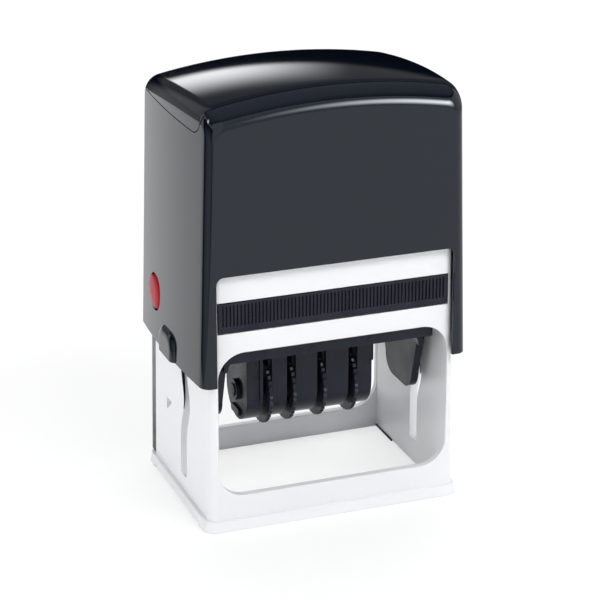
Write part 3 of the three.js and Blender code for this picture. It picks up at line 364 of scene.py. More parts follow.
def ramp(tree, value, start, end, power=1.0):
    """Rises softly from 0 at the start to 1 at the end, and stays between them."""
    node = tree.nodes.new("ShaderNodeMapRange")
    node.interpolation_type = "SMOOTHSTEP"
    node.inputs["From Min"].default_value = start
    node.inputs["From Max"].default_value = end
    tree.links.new(value, node.inputs["Value"])
    return sums(tree, "POWER", node.outputs["Result"], power)


def sums(tree, operation, first, second):
    """The result of one sum on a value and a value or number."""
    node = tree.nodes.new("ShaderNodeMath")
    node.operation = operation
    tree.links.new(first, node.inputs[0])
    if isinstance(second, float):
        node.inputs[1].default_value = second
    else:
        tree.links.new(second, node.inputs[1])
    return node.outputs["Value"]


def bump(tree, shader, height, strength, distance, edge=0.0):
    """Raises the surface by a pattern, and rounds its edges by a radius in millimetres."""
    node = tree.nodes.new("ShaderNodeBump")
    if edge:
        rounded = tree.nodes.new("ShaderNodeBevel")
        rounded.samples = 6
        rounded.inputs["Radius"].default_value = edge * MM
        tree.links.new(rounded.outputs["Normal"], node.inputs["Normal"])
    node.inputs["Strength"].default_value = strength
    node.inputs["Distance"].default_value = distance
    tree.links.new(height, node.inputs["Height"])
    tree.links.new(node.outputs["Normal"], shader.inputs["Normal"])


def lighter(base, share):
    """The colour moved towards white by a share."""
    return tuple(channel + (1.0 - channel) * share for channel in base)


def clouded(tree, shader, pattern, base, share, roughness):
    """Lets a pattern lighten the colour by a share and vary the roughness between two values."""
    tone = shades(tree, spread(tree, pattern, 0.0, 1.0), base, lighter(base, share))
    tree.links.new(tone, shader.inputs["Base Color"])
    tree.links.new(spread(tree, pattern, *roughness), shader.inputs["Roughness"])


def glowing(tree, shader, place, light):
    """Lets a cloth glow at a strength, in a white that its weave varies."""
    tone = shades(tree, noise(tree, place, 300.0), *CLOTH_WHITES)
    tree.links.new(tone, shader.inputs["Emission Color"])
    tree.links.new(light, shader.inputs["Emission Strength"])


def gloss_black(colours):
    """Polished moulded plastic: almost a mirror, with a faint flow in its gloss."""
    material, tree, shader, place = shader_of("gloss_black", colours.black, 0.06)
    shader.inputs["IOR"].default_value = 1.48
    shader.inputs["Specular Tint"].default_value = GLOSS_TINT
    flow = noise(tree, place, 60.0, 2.0, (1.0, 1.0, 0.35))
    tree.links.new(spread(tree, flow, 0.05, 0.11), shader.inputs["Roughness"])
    ripple = noise(tree, place, 45.0, 1.0)
    bump(tree, shader, ripple, 0.02, 0.0005)
    return material


def clear_cap(colours):
    """The same gloss on the window over the cover's top, a touch smoother."""
    material, tree, shader, place = shader_of("smoke_window", colours.black, 0.05)
    shader.inputs["IOR"].default_value = 1.5
    shader.inputs["Specular Tint"].default_value = GLOSS_TINT
    flow = noise(tree, place, 40.0, 2.0, (0.4, 1.0, 1.0))
    tree.links.new(spread(tree, flow, 0.04, 0.09), shader.inputs["Roughness"])
    return material


def white_plastic(colours):
    """White moulded plastic with a soft sheen and a very fine grain."""
    material, tree, shader, place = shader_of("white_plastic", colours.white, 0.3)
    shader.inputs["Subsurface Weight"].default_value = 0.06
    shader.inputs["Subsurface Radius"].default_value = (0.0012, 0.0011, 0.001)
    clouded(tree, shader, noise(tree, place, 35.0), colours.white, 0.04, (0.28, 0.32))
    bump(tree, shader, noise(tree, place, 2600.0, 2.0), 0.05, 0.00004, 0.35)
    return material


def satin_black(colours):
    """Black plastic with a fine spark-eroded texture, greyer where it is rubbed."""
    material, tree, shader, place = shader_of("satin_black", colours.dark, 0.38)
    shader.inputs["Specular IOR Level"].default_value = 0.2
    clouded(tree, shader, noise(tree, place, 160.0), colours.dark, 0.006, (0.24, 0.4))
    bump(tree, shader, noise(tree, place, 3200.0, 2.0), 0.12, 0.00004, 0.15)
    return material


def red_plastic(colours):
    """Glossy red plastic."""
    material, tree, shader, place = shader_of("red_plastic", colours.red, 0.2)
    shader.inputs["Specular IOR Level"].default_value = 0.05
    clouded(tree, shader, noise(tree, place, 220.0), colours.red, 0.02, (0.16, 0.28))
    return material


def matt_rubber(name, base):
    """Matt rubber with a dusty grain."""
    material, tree, shader, place = shader_of(name, base, 0.75)
    grain = noise(tree, place, 900.0, 4.0)
    clouded(tree, shader, grain, base, 0.06, (0.65, 0.9))
    bump(tree, shader, grain, 0.25, 0.0001)
    return material


def inked_felt(colours):
    """Felt soaked in ink: short fibres and a dull wet sheen."""
    material, tree, shader, place = shader_of("inked_felt", colours.felt, 0.85)
    fibres = noise(tree, place, 1400.0, 6.0, (1.0, 0.4, 1.0))
    clouded(tree, shader, fibres, colours.felt, 0.08, (0.6, 0.95))
    bump(tree, shader, fibres, 0.6, 0.0003)
    return material


def drawn_steel(colours):
    """Bright drawn steel with fine lines along its length."""
    material, tree, shader, place = shader_of("drawn_steel", colours.steel, 0.28, 1.0)
    lines = noise(tree, place, 1500.0, 2.0, (0.05, 1.0, 1.0))
    tree.links.new(spread(tree, lines, 0.2, 0.38), shader.inputs["Roughness"])
    bump(tree, shader, lines, 0.08, 0.00003)
    return material


def blackened_steel(colours):
    """Oxidised steel of the dater's axle and nose bar, with a trace of oil."""
    material, tree, shader, place = shader_of("blackened_steel", colours.axle, 0.4, 0.6)
    cloud = noise(tree, place, 700.0)
    clouded(tree, shader, cloud, colours.axle, 0.03, (0.32, 0.5))
    bump(tree, shader, cloud, 0.1, 0.00003)
    return material


def direct_rays(tree):
    """1 for the rays of the camera, of reflections and through glass, 0 for the light itself."""
    path = tree.nodes.new("ShaderNodeLightPath")
    value = path.outputs["Is Camera Ray"]
    for ray in ("Is Glossy Ray", "Is Transmission Ray"):
        value = sums(tree, "MAXIMUM", value, path.outputs[ray])
    return value


def strip_painted_shade(colours):
    """Grey of the corner strips as painted shade of the rear rebates, darker towards the foot as
    painted contact shadow.
    """
    material, tree, shader, place = shader_of("strip_painted_shade", colours.strip, 0.35)
    shader.inputs["Specular IOR Level"].default_value = 0.1
    axes = tree.nodes.new("ShaderNodeSeparateXYZ")
    tree.links.new(place, axes.inputs["Vector"])
    height = tree.nodes.new("ShaderNodeMapRange")
    height.inputs["From Min"].default_value = STRIP_SHADOW_FADE[0]
    height.inputs["From Max"].default_value = STRIP_SHADOW_FADE[1]
    tree.links.new(axes.outputs["Z"], height.inputs["Value"])
    low, high = [[channel * share for channel in colours.strip] for share in STRIP_SHADOW_SHARES]
    tree.links.new(shades(tree, height.outputs["Result"], low, high), shader.inputs["Base Color"])
    tree.links.new(spread(tree, noise(tree, place, 300.0), 0.3, 0.45), shader.inputs["Roughness"])
    return material


def flag_cloth(colours):
    """Black cloth of the studio's flag with a soft band of light, seen only in reflections."""
    material, tree, shader, place = shader_of("flag_cloth", (0.002, 0.002, 0.002), 1.0)
    shader.inputs["Specular IOR Level"].default_value = 0.0
    axes = tree.nodes.new("ShaderNodeSeparateXYZ")
    tree.links.new(place, axes.inputs["Vector"])
    light = ramp(tree, axes.outputs["Z"], *BAND_FOOT)
    haze = sums(tree, "MULTIPLY", light, FLAG_HAZE)
    for axis, (start, end) in (("Z", BAND_HEAD), ("X", BAND_LEFT), ("X", BAND_RIGHT)):
        light = sums(tree, "MULTIPLY", light, ramp(tree, axes.outputs[axis], start, end))
    light = sums(tree, "ADD", sums(tree, "MULTIPLY", light, BAND_STRENGTH), haze)
    side = sums(tree, "MULTIPLY", ramp(tree, axes.outputs["X"], *FLAG_SIDE_FADE), FLAG_SIDE)
    glowing(tree, shader, place, sums(tree, "ADD", light, side))
    return material


def glow_cloth(name, centre, size, strength, power, spill=0.0):
    """Cloth of a softbox that fades from its middle to a faint spill, seen only in reflections."""
    material, tree, shader, place = shader_of(name, (0.0, 0.0, 0.0), 1.0)
    shader.inputs["Specular IOR Level"].default_value = 0.0
    mapping = tree.nodes.new("ShaderNodeMapping")
    mapping.vector_type = "TEXTURE"
    mapping.inputs["Location"].default_value = centre
    reach = [half if half > CARD_THIN else CARD_EVEN for half in size]
    mapping.inputs["Scale"].default_value = reach
    tree.links.new(place, mapping.inputs["Vector"])
    away = tree.nodes.new("ShaderNodeVectorMath")
    away.operation = "LENGTH"
    tree.links.new(mapping.outputs["Vector"], away.inputs[0])
    light = sums(tree, "MULTIPLY", ramp(tree, away.outputs["Value"], 1.0, 0.0, power), strength)
    glowing(tree, shader, place, sums(tree, "MAXIMUM", light, spill))
    return material


def floor_paper(colours):
    """Pale studio paper: white in the picture and in reflections, with a soft shadow kept."""
    material, tree, shader, place = shader_of("floor_paper", colours.floor, 0.9)
    shader.inputs["Specular IOR Level"].default_value = 0.0
    grain = noise(tree, place, 6.0)
    tone = shades(tree, spread(tree, grain, 0.0, 1.0), colours.floor, lighter(colours.floor, 0.02))
    tree.links.new(tone, shader.inputs["Base Color"])
    glow = tree.nodes.new("ShaderNodeEmission")
    glow.inputs["Color"].default_value = WHITE_LIGHT
    glow.inputs["Strength"].default_value = 1.0
    mix = tree.nodes.new("ShaderNodeMixShader")
    output = tree.nodes["Material Output"]
    tree.links.new(sums(tree, "MULTIPLY", direct_rays(tree), FLOOR_SHARE), mix.inputs["Fac"])
    tree.links.new(shader.outputs["BSDF"], mix.inputs[1])
    tree.links.new(glow.outputs["Emission"], mix.inputs[2])
    tree.links.new(mix.outputs["Shader"], output.inputs["Surface"])
    return material


FINISHES = {}


def finish_of(name):
    """The material of that name, made the first time it is asked for."""
    if name not in FINISHES:
        colours = bpy.context.scene.stamp_colours
        makers = {
            "black_plastic": gloss_black,
            "clear_plastic": clear_cap,
            "white_plastic": white_plastic,
            "dark_plastic": satin_black,
            "red_plastic": red_plastic,
            "steel": drawn_steel,
            "blackened_steel": blackened_steel,
            "felt": inked_felt,
            "die_rubber": lambda c: matt_rubber("die_rubber", c.rubber),
            "band_rubber": lambda c: matt_rubber("band_rubber", c.dark),
            "floor": floor_paper,
            "strip": strip_painted_shade,
            "flag": flag_cloth,
        }
        FINISHES[name] = glow_cloth(name, *CARDS[name]) if name in CARDS else makers[name](colours)
    return FINISHES[name]


# Pieces


def new_piece(name, mesh, finish):
    """A new object from a bmesh, smooth shaded, with its material."""
    data = bpy.data.meshes.new(name)
    for face in mesh.faces:
        face.smooth = True
    mesh.to_mesh(data)
    mesh.free()
    piece = bpy.data.objects.new(name, data)
    bpy.context.collection.objects.link(piece)
    data.materials.append(finish_of(finish))
    return piece


def settle(piece):
    """Applies the piece's modifiers to its mesh."""
    graph = bpy.context.evaluated_depsgraph_get()
    data = bpy.data.meshes.new_from_object(piece.evaluated_get(graph))
    piece.modifiers.clear()
    old = piece.data
    piece.data = data
    bpy.data.meshes.remove(old)


def combine(piece, tool, operation):
    """Cuts, joins or crosses a piece with a tool, which is used up."""
    step = piece.modifiers.new("combine", "BOOLEAN")
    step.operation = operation
    step.solver = "EXACT"
    step.object = tool
    settle(piece)
    data = tool.data
    bpy.data.objects.remove(tool)
    bpy.data.meshes.remove(data)


def even_shading(piece, keep_sharp):
    """Evens the shading of the flats beside rounded edges."""
    even = piece.modifiers.new("shading", "WEIGHTED_NORMAL")
    even.weight = 60
    even.keep_sharp = keep_sharp


def soften(piece, width):
    """Rounds the sharp edges by a width in millimetres."""
    edge = piece.modifiers.new("edges", "BEVEL")
    edge.width = width * MM
    edge.segments = 2
    edge.limit_method = "ANGLE"
    edge.angle_limit = ROUNDED_ANGLE
    edge.use_clamp_overlap = True
    edge.harden_normals = False
    even_shading(piece, False)


def place(piece, body, node, slot):
    """Ties a piece to its body and hides its frame node. The slot it is given is not used."""
    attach(piece, body)
    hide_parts(node)
    return piece


def refined(node, body, slot, finish=None):
    """A copy of a frame node: corners merged, flats joined, smooth between its sharp edges."""
    mesh = bmesh.new()
    mesh.from_mesh(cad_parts[node].data)
    bmesh.ops.remove_doubles(mesh, verts=mesh.verts, dist=MERGE_DISTANCE)
    bmesh.ops.dissolve_limit(
        mesh,
        angle_limit=FLAT_ANGLE,
        verts=mesh.verts,
        edges=mesh.edges,
        use_dissolve_boundaries=False,
    )
    for edge in mesh.edges:
        edge.smooth = edge.calc_face_angle(0.0) < SHARP_ANGLE
    piece = new_piece(f"{node}_made", mesh, finish or slot)
    even_shading(piece, True)
    return place(piece, body, node, slot)


def span(edge):
    """The run of an edge from its first corner to its second."""
    return edge.verts[1].co - edge.verts[0].co


def block(low, high, radius=0.0, axis="Z"):
    """A box between two corners, its four edges along one axis rounded."""
    mesh = bmesh.new()
    bmesh.ops.create_cube(mesh, size=1.0)
    size = Vector(high) - Vector(low)
    middle = (Vector(high) + Vector(low)) / 2
    bmesh.ops.scale(mesh, vec=size, verts=mesh.verts)
    bmesh.ops.translate(mesh, vec=middle, verts=mesh.verts)
    if radius:
        index = "XYZ".index(axis)
        edges = [e for e in mesh.edges if abs(span(e).normalized()[index]) > PARALLEL]
        round_edges(mesh, edges, radius, segments=10)
    return mesh


def round_edges(mesh, edges, radius, segments):
    """Rounds edges with the editor's own settings."""
    bmesh.ops.bevel(
        mesh,
        geom=edges,
        offset=radius,
        offset_type="OFFSET",
        segments=segments,
        profile=0.5,
        affect="EDGES",
        clamp_overlap=True,
        material=-1,
    )


def disc(radius, x0, x1, y, z):
    """A round bar along X."""
    mesh = bmesh.new()
    turn = Matrix.Translation(((x0 + x1) / 2, y, z)) @ Matrix.Rotation(math.radians(90), 4, "Y")
    bmesh.ops.create_cone(
        mesh,
        cap_ends=True,
        segments=64,
        radius1=radius,
        radius2=radius,
        depth=abs(x1 - x0),
        matrix=turn,
    )
    return mesh


def millimetres(mesh):
    """Turns a bmesh drawn in millimetres into metres."""
    bmesh.ops.scale(mesh, vec=(MM, MM, MM), verts=mesh.verts)
    return mesh


def tool_of(mesh):
    """A cutting tool made from a bmesh in millimetres."""
    return new_piece("tool", millimetres(mesh), "black_plastic")


def drop(radius, distance):
    """How far a rounding of that radius has fallen at a distance from its edge."""
    if distance >= radius:
        return 0.0
    run = radius - max(distance, 0.0)
    return radius - math.sqrt(radius * radius - run * run)


def arch_point(sizes, y, inset, share):
    """A point of the cover's section at y: share 0 is the right foot, 1 the left foot."""
    half_depth = sizes.depth / 2
    from_front = y + half_depth - inset
    from_back = half_depth - inset - y
    narrowing = inset + drop(sizes.corner - inset, min(from_front, from_back))
    narrowing += sizes.bow * ((y / half_depth) ** 2 - BOW_SHARE)
    lowering = drop(sizes.front_edge - inset, from_front)
    lowering += drop(sizes.back_edge - inset, from_back)
    past_crest = max(0.0, y + sizes.crest)
    lowering += sizes.fall - math.sqrt(sizes.fall**2 - past_crest**2)
    radius = sizes.shoulder - inset
    crown = sizes.crown - inset
    centre_z = sizes.top - sizes.crown
    shoulder_x = sizes.length / 2 - sizes.draft - narrowing - radius
    shoulder_z = centre_z + math.sqrt((crown - radius) ** 2 - shoulder_x**2) - lowering
    lean = math.asin(shoulder_x / (crown - radius))
    side = 1.0 if share <= 0.5 else -1.0
    along = 2 * share if share <= 0.5 else 2 * (1 - share)
    if along < WALL_SHARE:
        foot = Vector((sizes.length / 2 - narrowing, y, sizes.bottom))
        head = Vector((shoulder_x + radius, y, shoulder_z))
        point = foot.lerp(head, along / WALL_SHARE)
    elif along < SHOULDER_SHARE:
        angle = (math.pi / 2 - lean) * (along - WALL_SHARE) / (SHOULDER_SHARE - WALL_SHARE)
        x = shoulder_x + radius * math.cos(angle)
        point = Vector((x, y, shoulder_z + radius * math.sin(angle)))
    else:
        angle = lean * (1 - (along - SHOULDER_SHARE) / (1 - SHOULDER_SHARE))
        point = Vector((crown * math.sin(angle), y, centre_z + crown * math.cos(angle) - lowering))
    return Vector((point.x * side, point.y, point.z))


def stations_of(sizes, inset):
    """The places along Y where the cover's section is drawn, closer at the roundings."""
    face = sizes.depth / 2 - inset
    steps = [1 - math.cos(math.pi / 2 * i / ARC_STEPS) for i in range(ARC_STEPS + 1)]
    corner = [(sizes.corner - inset) * step for step in steps[:CORNER_STEPS]]
    front, back = [
        corner + [(edge - inset) * step for step in steps if (edge - inset) * step > corner[-1]]
        for edge in (sizes.front_edge, sizes.back_edge)
    ]
    from_front = [distance - face for distance in front]
    from_back = [face - distance for distance in reversed(back)]
    count = round(sizes.depth / STATION_PITCH)
    middle = [-face + front[-1] + STATION_PITCH * i for i in range(1, count)]
    return from_front + [y for y in middle if y < from_back[0] - STATION_PITCH / 2] + from_back


def arched_block(sizes, inset):
    """The cover's outer form set in by an inset: a grid rolled into its sections."""
    stations = stations_of(sizes, inset)
    rows = len(stations) - 1
    mesh = bmesh.new()
    bmesh.ops.create_grid(mesh, x_segments=COLUMNS, y_segments=rows, size=0.5)
    for vert in mesh.verts:
        column = round((vert.co.x + 0.5) * COLUMNS)
        row = round((vert.co.y + 0.5) * rows)
        vert.co = arch_point(sizes, stations[row], inset, column / COLUMNS)
    feet = [e for e in mesh.edges if e.is_boundary and abs(span(e).y) > 0.0]
    bmesh.ops.bridge_loops(mesh, edges=feet)
    bmesh.ops.holes_fill(mesh, edges=[e for e in mesh.edges if e.is_boundary], sides=0)
    bmesh.ops.recalc_face_normals(mesh, faces=mesh.faces)
    return mesh


def cap_zone(sizes, cap, margin):
    """The side view of the index window pulled across the stamp."""
    front = -cap.front - margin
    back = cap.back + margin
    bottom = cap.bottom - margin
    head = sizes.top + TOP_OVERRUN
    mesh = block((-sizes.length, front, bottom), (sizes.length, back, head))
    edges = [
        e
        for e in mesh.edges
        if all(v.co.z < bottom + NEAR and v.co.y < front + NEAR for v in e.verts)
    ]
    round_edges(mesh, edges, cap.corner + margin, segments=12)
    return mesh


def leaning_block(half_x, half_y, z0, z1, lean, radius):
    """A block whose ends lean in towards its top."""
    mesh = block((-half_x, -half_y, z0), (half_x, half_y, z1), radius)
    for vert in mesh.verts:
        share = (vert.co.z - z0) / (z1 - z0)
        vert.co.x *= 1 - lean * share / half_x
    return mesh


SIDES = {-1: "left", 1: "right"}


def flipped(mesh, side):
    """The mesh on its own side: side -1 is the left."""
    if side < 0:
        bmesh.ops.scale(mesh, vec=(-1, 1, 1), verts=mesh.verts)
    bmesh.ops.recalc_face_normals(mesh, faces=mesh.faces)
    return mesh


def boss(sizes, side):
    """A pivot boss: a pillow with a rounded rim, level with the cover's foot."""
    root = sizes.length / 2 - BOSS_ROOT
    tip = sizes.boss_tip
    half = sizes.boss_length / 2
    low = (root, -sizes.boss_y - half, sizes.bottom - sizes.boss_corner)
    high = (tip, half - sizes.boss_y, sizes.boss_top)
    mesh = block(low, high, sizes.boss_corner, "X")
    rim = [e for e in mesh.edges if all(v.co.x > tip - NEAR for v in e.verts)]
    round_edges(mesh, rim, sizes.boss_edge, segments=8)
    cut = bmesh.ops.bisect_plane(
        mesh,
        geom=mesh.verts[:] + mesh.edges[:] + mesh.faces[:],
        plane_co=(0, 0, sizes.bottom),
        plane_no=(0, 0, -1),
        clear_outer=True,
    )
    opened = [part for part in cut["geom_cut"] if isinstance(part, bmesh.types.BMEdge)]
    bmesh.ops.edgeloop_fill(mesh, edges=opened)
    return flipped(mesh, side)


def corner_shade_strip(parts, side):
    """A thin grey strip of painted shade in the rebate of a rear corner, leaning in with the end wall.
    """
    inside = parts.wall_face - REBATE_DEPTH
    low = (inside, parts.strip_back - parts.strip_width, parts.strip_low)
    high = (inside + STRIP_THICKNESS, parts.strip_back, parts.strip_high)
    mesh = block(low, high)
    for vert in mesh.verts:
        vert.co.x -= parts.wall_lean * vert.co.z / WALL_HEIGHT
    edges = [e for e in mesh.edges if abs(span(e).normalized().z) > PARALLEL]
    round_edges(mesh, edges, STRIP_ROUNDING, segments=3)
    return flipped(mesh, side)


def slot_shade_sheet(parts, side):
    """A thin dark sheet of painted shade on the back edge of the curved guide slot, tapering towards
    its foot.
    """
    mesh = bmesh.new()
    bmesh.ops.create_grid(mesh, x_segments=1, y_segments=SLOT_SHADE_ROWS, size=0.5)
    for vert in mesh.verts:
        share = round((vert.co.y + 0.5) * SLOT_SHADE_ROWS) / SLOT_SHADE_ROWS
        z = parts.slot_shade_low + (parts.slot_shade_high - parts.slot_shade_low) * share
        bend = (z - BEND_FOOT) / BEND_HEIGHT
        swing = BEND_SWING * (1 - math.cos(math.tau * bend)) if bend < 1.0 else 0.0
        depth = SLOT_SHADE_DEPTH * min(1.0, SLOT_SHADE_FOOT_SHARE + SLOT_SHADE_GROWTH * share)
        face = parts.wall_face - parts.wall_lean * z / WALL_HEIGHT
        x = face + SLOT_SHADE_PROUD if vert.co.x > 0 else face - depth
        vert.co = Vector((x, SLOT_BACK - swing, z))
    sheet = bmesh.ops.extrude_face_region(mesh, geom=mesh.faces[:])
    moved = [g for g in sheet["geom"] if isinstance(g, bmesh.types.BMVert)]
    bmesh.ops.translate(mesh, vec=(0, -SLOT_SHADE_THICKNESS, 0), verts=moved)
    return flipped(mesh, side)


def foot_shade_strip(_parts, side):
    """A dark strip of painted shade along the inner foot of an end wall, at the rear."""
    mesh = block(FOOT_SHADE_LOW, FOOT_SHADE_HIGH)
    round_edges(mesh, mesh.edges[:], FOOT_SHADE_ROUNDING, segments=2)
    return flipped(mesh, side)


class STAMP_OT_cover(bpy.types.Operator):
    """Models the black cover with its arched top, cut-outs, bosses and button holes"""

    bl_idname = "stamp.cover"
    bl_label = "Cover"

    def execute(self, context):
        sizes = context.scene.stamp_cover
        cap = context.scene.stamp_cap
        parts = context.scene.stamp_parts
        shell = new_piece("cover_made", millimetres(arched_block(sizes, 0.0)), "black_plastic")
        recess = tool_of(cap_zone(sizes, cap, cap.seam))
        combine(recess, tool_of(arched_block(sizes, cap.thickness + RECESS_GAP)), "DIFFERENCE")
        combine(shell, recess, "DIFFERENCE")
        for side in SIDES:
            combine(shell, tool_of(boss(sizes, side)), "UNION")

        half = sizes.length / 2 - sizes.end_wall
        depth = sizes.depth / 2 - sizes.front_wall
        foot = sizes.bottom - FOOT_OVERRUN
        ceiling = sizes.ceiling
        room = leaning_block(half, depth, foot, ceiling - ROOM_DROP, sizes.inner_draft, ROOM_CORNER)
        combine(shell, tool_of(room), "DIFFERENCE")
        for x, front, back, head in (
            (sizes.length / 2 - CROWN_SIDE, -depth + CROWN_FRONT, CROWN_BACK, ceiling - CROWN_DROP),
            (sizes.length / 2 - LIP_SIDE, -depth, LIP_BACK, ceiling - LIP_DROP),
            (parts.spring_radius + SPRING_GAP, -SPRING_REACH, SPRING_REACH, ceiling + SPRING_RISE),
        ):
            combine(shell, tool_of(block((-x, front, foot), (x, back, head))), "DIFFERENCE")
        post = block(
            (-POST_HALF, -POST_HALF, ceiling - POST_DEPTH),
            (POST_HALF, POST_HALF, ceiling + POST_RISE),
            POST_CORNER,
        )
        combine(shell, tool_of(post), "UNION")

        window = block(
            (-sizes.window_length / 2, -sizes.depth, foot),
            (sizes.window_length / 2, sizes.depth, sizes.window_top),
            sizes.window_corner,
            "Y",
        )
        combine(shell, tool_of(window), "DIFFERENCE")
        hole = parts.button_radius + HOLE_GAP
        bar = disc(hole, -sizes.length, sizes.length, parts.button_y, parts.button_z)
        combine(shell, tool_of(bar), "DIFFERENCE")
        soften(shell, COVER_ROUNDING)
        place(shell, "cover", "cover_shell", "black_plastic")
        return {"FINISHED"}


class STAMP_OT_cap(bpy.types.Operator):
    """Models the clear index window that lies over the top of the cover"""

    bl_idname = "stamp.cap"
    bl_label = "Index Window"

    def execute(self, context):
        sizes = context.scene.stamp_cover
        cap = context.scene.stamp_cap
        outside = millimetres(arched_block(sizes, 0.0))
        window = new_piece("index_window_made", outside, "clear_plastic")
        combine(window, tool_of(arched_block(sizes, cap.thickness)), "DIFFERENCE")
        combine(window, tool_of(cap_zone(sizes, cap, 0.0)), "INTERSECT")
        soften(window, CAP_ROUNDING)
        place(window, "cover", "index_window", "clear_plastic")
        return {"FINISHED"}


class STAMP_OT_base(bpy.types.Operator):
    """Finishes the white base frame and adds strips and sheets of painted shade: corner strips, slot
    sheets and foot strips
    """

    bl_idname = "stamp.base"
    bl_label = "Base Frame"

    def execute(self, context):
        parts = context.scene.stamp_parts
        refined("base_frame", "base", "white_plastic")
        for side, side_name in SIDES.items():
            # Dark strips and sheets of painted shade on both end walls
            for name, make, finish in (
                ("corner_shade_strip", corner_shade_strip, "strip"),
                ("slot_shade_sheet", slot_shade_sheet, "dark_plastic"),
                ("foot_shade_strip", foot_shade_strip, "dark_plastic"),
            ):
                shade_piece = new_piece(f"{name}_{side_name}", millimetres(make(parts, side)), finish)
                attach(shade_piece, "base")
        return {"FINISHED"}


class STAMP_OT_cassette(bpy.types.Operator):
    """Finishes the ink pad cassette with its ribbed grip, and the pad"""

    bl_idname = "stamp.cassette"
    bl_label = "Ink Pad Cassette"

    def execute(self, context):
        refined("ink_pad_tray", "cassette", "dark_plastic")
        refined("ink_pad_felt", "cassette", "felt")
        return {"FINISHED"}


class STAMP_OT_holder(bpy.types.Operator):
    """Finishes the die holder, the text plate and the rubber die"""

    bl_idname = "stamp.holder"
    bl_label = "Die Holder"

    def execute(self, context):
        refined("die_holder", "holder", "dark_plastic")
        refined("text_plate", "holder", "dark_plastic")
        refined("rubber_die", "holder", "die_rubber")
        return {"FINISHED"}


class STAMP_OT_dater(bpy.types.Operator):
    """Finishes the dater: its housing, wheels, bands, axle and nose bar"""

    bl_idname = "stamp.dater"
    bl_label = "Dater"

    def execute(self, context):
        refined("dater_housing", "holder", "dark_plastic")
        for number in range(1, 5):
            refined(f"date_wheel_{number}", f"wheel_{number}", "dark_plastic")
            refined(f"date_band_{number}", "holder", "band_rubber")
        for node in ("wheel_axle", "nose_bar"):
            refined(node, "holder", "steel", "blackened_steel")
        for node in ("pivot_pin_left", "pivot_pin_right"):
            refined(node, "holder", "steel")
        return {"FINISHED"}


class STAMP_OT_buttons(bpy.types.Operator):
    """Models the red lock buttons, each a domed head on a thin flange"""

    bl_idname = "stamp.buttons"
    bl_label = "Lock Buttons"

    def execute(self, context):
        parts = context.scene.stamp_parts
        for side, name in SIDES.items():
            low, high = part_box(f"lock_button_{name}")
            back = min(abs(low[0]), abs(high[0])) / MM
            face = max(abs(low[0]), abs(high[0])) / MM
            mesh = bmesh.new()
            radius = parts.button_radius
            flange = (high[1] - low[1]) / 2 / MM
            seat = back + FLANGE_THICKNESS
            outline = [(0.0, back), (flange, back), (flange, seat), (radius, seat)]
            outline += [(radius - inward, face - under) for inward, under in HEAD_RIM]
            outline += [(radius / 2, face - HEAD_DOME), (0.0, face)]
            points = [mesh.verts.new((x, r, 0.0)) for r, x in outline]
            wires = [mesh.edges.new(pair) for pair in zip(points, points[1:])]
            bmesh.ops.spin(
                mesh,
                geom=points + wires,
                cent=(0, 0, 0),
                axis=(1, 0, 0),
                angle=math.tau,
                steps=64,
                use_merge=True,
            )
            bmesh.ops.remove_doubles(mesh, verts=mesh.verts, dist=SEAM_DISTANCE)
            bmesh.ops.translate(mesh, vec=(0, parts.button_y, parts.button_z), verts=mesh.verts)
            mesh = millimetres(flipped(mesh, side))
            piece = new_piece(f"lock_button_{name}_made", mesh, "red_plastic")
            place(piece, f"button_{name}", f"lock_button_{name}", "red_plastic")
        return {"FINISHED"}


class STAMP_OT_spring(bpy.types.Operator):
    """Winds the return spring from one round wire"""

    bl_idname = "stamp.spring"
    bl_label = "Return Spring"

    def execute(self, context):
        parts = context.scene.stamp_parts
        low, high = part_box("return_spring")
        wire = parts.spring_wire / 2
        start = low[2] / MM + wire
        rise = (high[2] - low[2]) / MM - parts.spring_wire
        steps = parts.spring_turns * SPRING_STEPS
        mesh = bmesh.new()
        upright = Matrix.Rotation(math.radians(90), 4, "X")
        turn = Matrix.Translation((parts.spring_radius, 0, start)) @ upright
        bmesh.ops.create_circle(mesh, cap_ends=False, segments=WIRE_SIDES, radius=wire, matrix=turn)
        bmesh.ops.spin(
            mesh,
            geom=mesh.verts[:] + mesh.edges[:],
            cent=(0, 0, 0),
            axis=(0, 0, 1),
            dvec=(0, 0, rise / steps),
            angle=math.tau * parts.spring_turns,
            steps=steps,
        )
        bmesh.ops.holes_fill(mesh, edges=[e for e in mesh.edges if e.is_boundary], sides=0)
        bmesh.ops.recalc_face_normals(mesh, faces=mesh.faces)
        piece = new_piece("return_spring_made", millimetres(mesh), "steel")
        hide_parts("return_spring")
        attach(piece, "base")
        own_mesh(piece)
        return {"FINISHED"}


def aimed(name, data, eye, target):
    """A camera or lamp at a point, turned to face another."""
    piece = bpy.data.objects.new(name, data)
    piece.location = eye
    direction = Vector(target) - Vector(eye)
    piece.rotation_euler = direction.to_track_quat("-Z", "Y").to_euler()
    bpy.context.collection.objects.link(piece)
    return piece


def lamp(name, face, power, eye):
    """A soft rectangular lamp that faces the stamp and isn't seen in reflections."""
    data = bpy.data.lights.new(name, "AREA")
    data.shape = "RECTANGLE"
    data.size, data.size_y = face
    data.energy = power
    aimed(name, data, eye, LAMP_TARGET).visible_glossy = False


def reflected_card(name, low, high):
    """A card of the studio that only the glossy surfaces see."""
    card = new_piece(name, block(low, high), name)
    for ray in ("camera", "diffuse", "transmission", "volume_scatter", "shadow"):
        setattr(card, f"visible_{ray}", False)


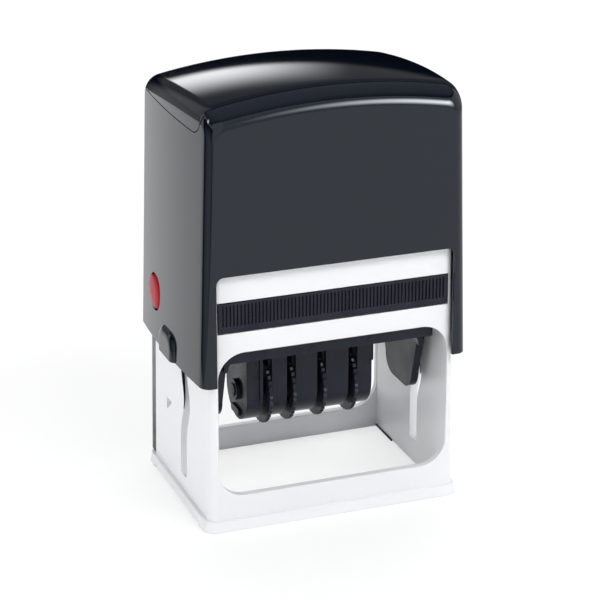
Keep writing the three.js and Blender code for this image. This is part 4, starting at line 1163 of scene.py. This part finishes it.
class STAMP_OT_stage(bpy.types.Operator):
    """Sets the pale floor, the studio lamps, the world and the camera"""

    bl_idname = "stamp.stage"
    bl_label = "Stage"

    def execute(self, context):
        scene = context.scene
        data = bpy.data.cameras.new("camera")
        data.lens = CAMERA_LENS
        data.sensor_width = CAMERA_SENSOR
        data.clip_end = CAMERA_REACH
        scene.camera = aimed("camera", data, CAMERA_EYE, CAMERA_TARGET)

        mesh = bmesh.new()
        bmesh.ops.create_grid(mesh, x_segments=8, y_segments=8, size=FLOOR_HALF)
        floor = new_piece("floor", mesh, "floor")

        reflected_card("flag", FLAG_LOW, FLAG_HIGH)
        for name, (middle, half, *_glow) in CARDS.items():
            reflected_card(name, Vector(middle) - Vector(half), Vector(middle) + Vector(half))

        for name, settings in LAMPS.items():
            lamp(name, *settings)

        world = bpy.data.worlds.new("studio")
        scene.world = world
        world.use_nodes = True
        tree = world.node_tree
        room = tree.nodes["Background"]
        room.inputs["Color"].default_value = ROOM_LIGHT
        white = tree.nodes.new("ShaderNodeBackground")
        white.inputs["Color"].default_value = WHITE_LIGHT
        mix = tree.nodes.new("ShaderNodeMixShader")
        tree.links.new(direct_rays(tree), mix.inputs["Fac"])
        tree.links.new(room.outputs["Background"], mix.inputs[1])
        tree.links.new(white.outputs["Background"], mix.inputs[2])
        tree.links.new(mix.outputs["Shader"], tree.nodes["World Output"].inputs["Surface"])

        scene.view_settings.view_transform = "Standard"
        return {"FINISHED"}


class STAMP_PT_panel(bpy.types.Panel):
    """Lists the steps that model the date stamp."""

    bl_idname = "STAMP_PT_panel"
    bl_label = "Date Stamp"
    bl_space_type = "VIEW_3D"
    bl_region_type = "UI"
    bl_category = "Date Stamp"

    def draw(self, context):
        layout = self.layout
        for step in STEPS:
            layout.operator(step.bl_idname)
        for group in GROUPS:
            settings = getattr(context.scene, group)
            for name in settings.__annotations__:
                layout.prop(settings, name)


GROUPS = {
    "stamp_cover": StampCoverSizes,
    "stamp_cap": StampCapSizes,
    "stamp_parts": StampPartSizes,
    "stamp_colours": StampColours,
}
STEPS = (
    STAMP_OT_stage,
    STAMP_OT_cover,
    STAMP_OT_cap,
    STAMP_OT_base,
    STAMP_OT_cassette,
    STAMP_OT_holder,
    STAMP_OT_dater,
    STAMP_OT_buttons,
    STAMP_OT_spring,
)


def register():
    for name, group in GROUPS.items():
        bpy.utils.register_class(group)
        setattr(bpy.types.Scene, name, PointerProperty(type=group))
    for step in STEPS:
        bpy.utils.register_class(step)
    bpy.utils.register_class(STAMP_PT_panel)


def unregister():
    bpy.utils.unregister_class(STAMP_PT_panel)
    for step in reversed(STEPS):
        bpy.utils.unregister_class(step)
    for name, group in reversed(GROUPS.items()):
        delattr(bpy.types.Scene, name)
        bpy.utils.unregister_class(group)


def main():
    register()
    bpy.ops.stamp.stage()
    bpy.ops.stamp.cover()
    bpy.ops.stamp.cap()
    bpy.ops.stamp.base()
    bpy.ops.stamp.cassette()
    bpy.ops.stamp.holder()
    bpy.ops.stamp.dater()
    bpy.ops.stamp.buttons()
    bpy.ops.stamp.spring()


if __name__ == "__main__":
    main()
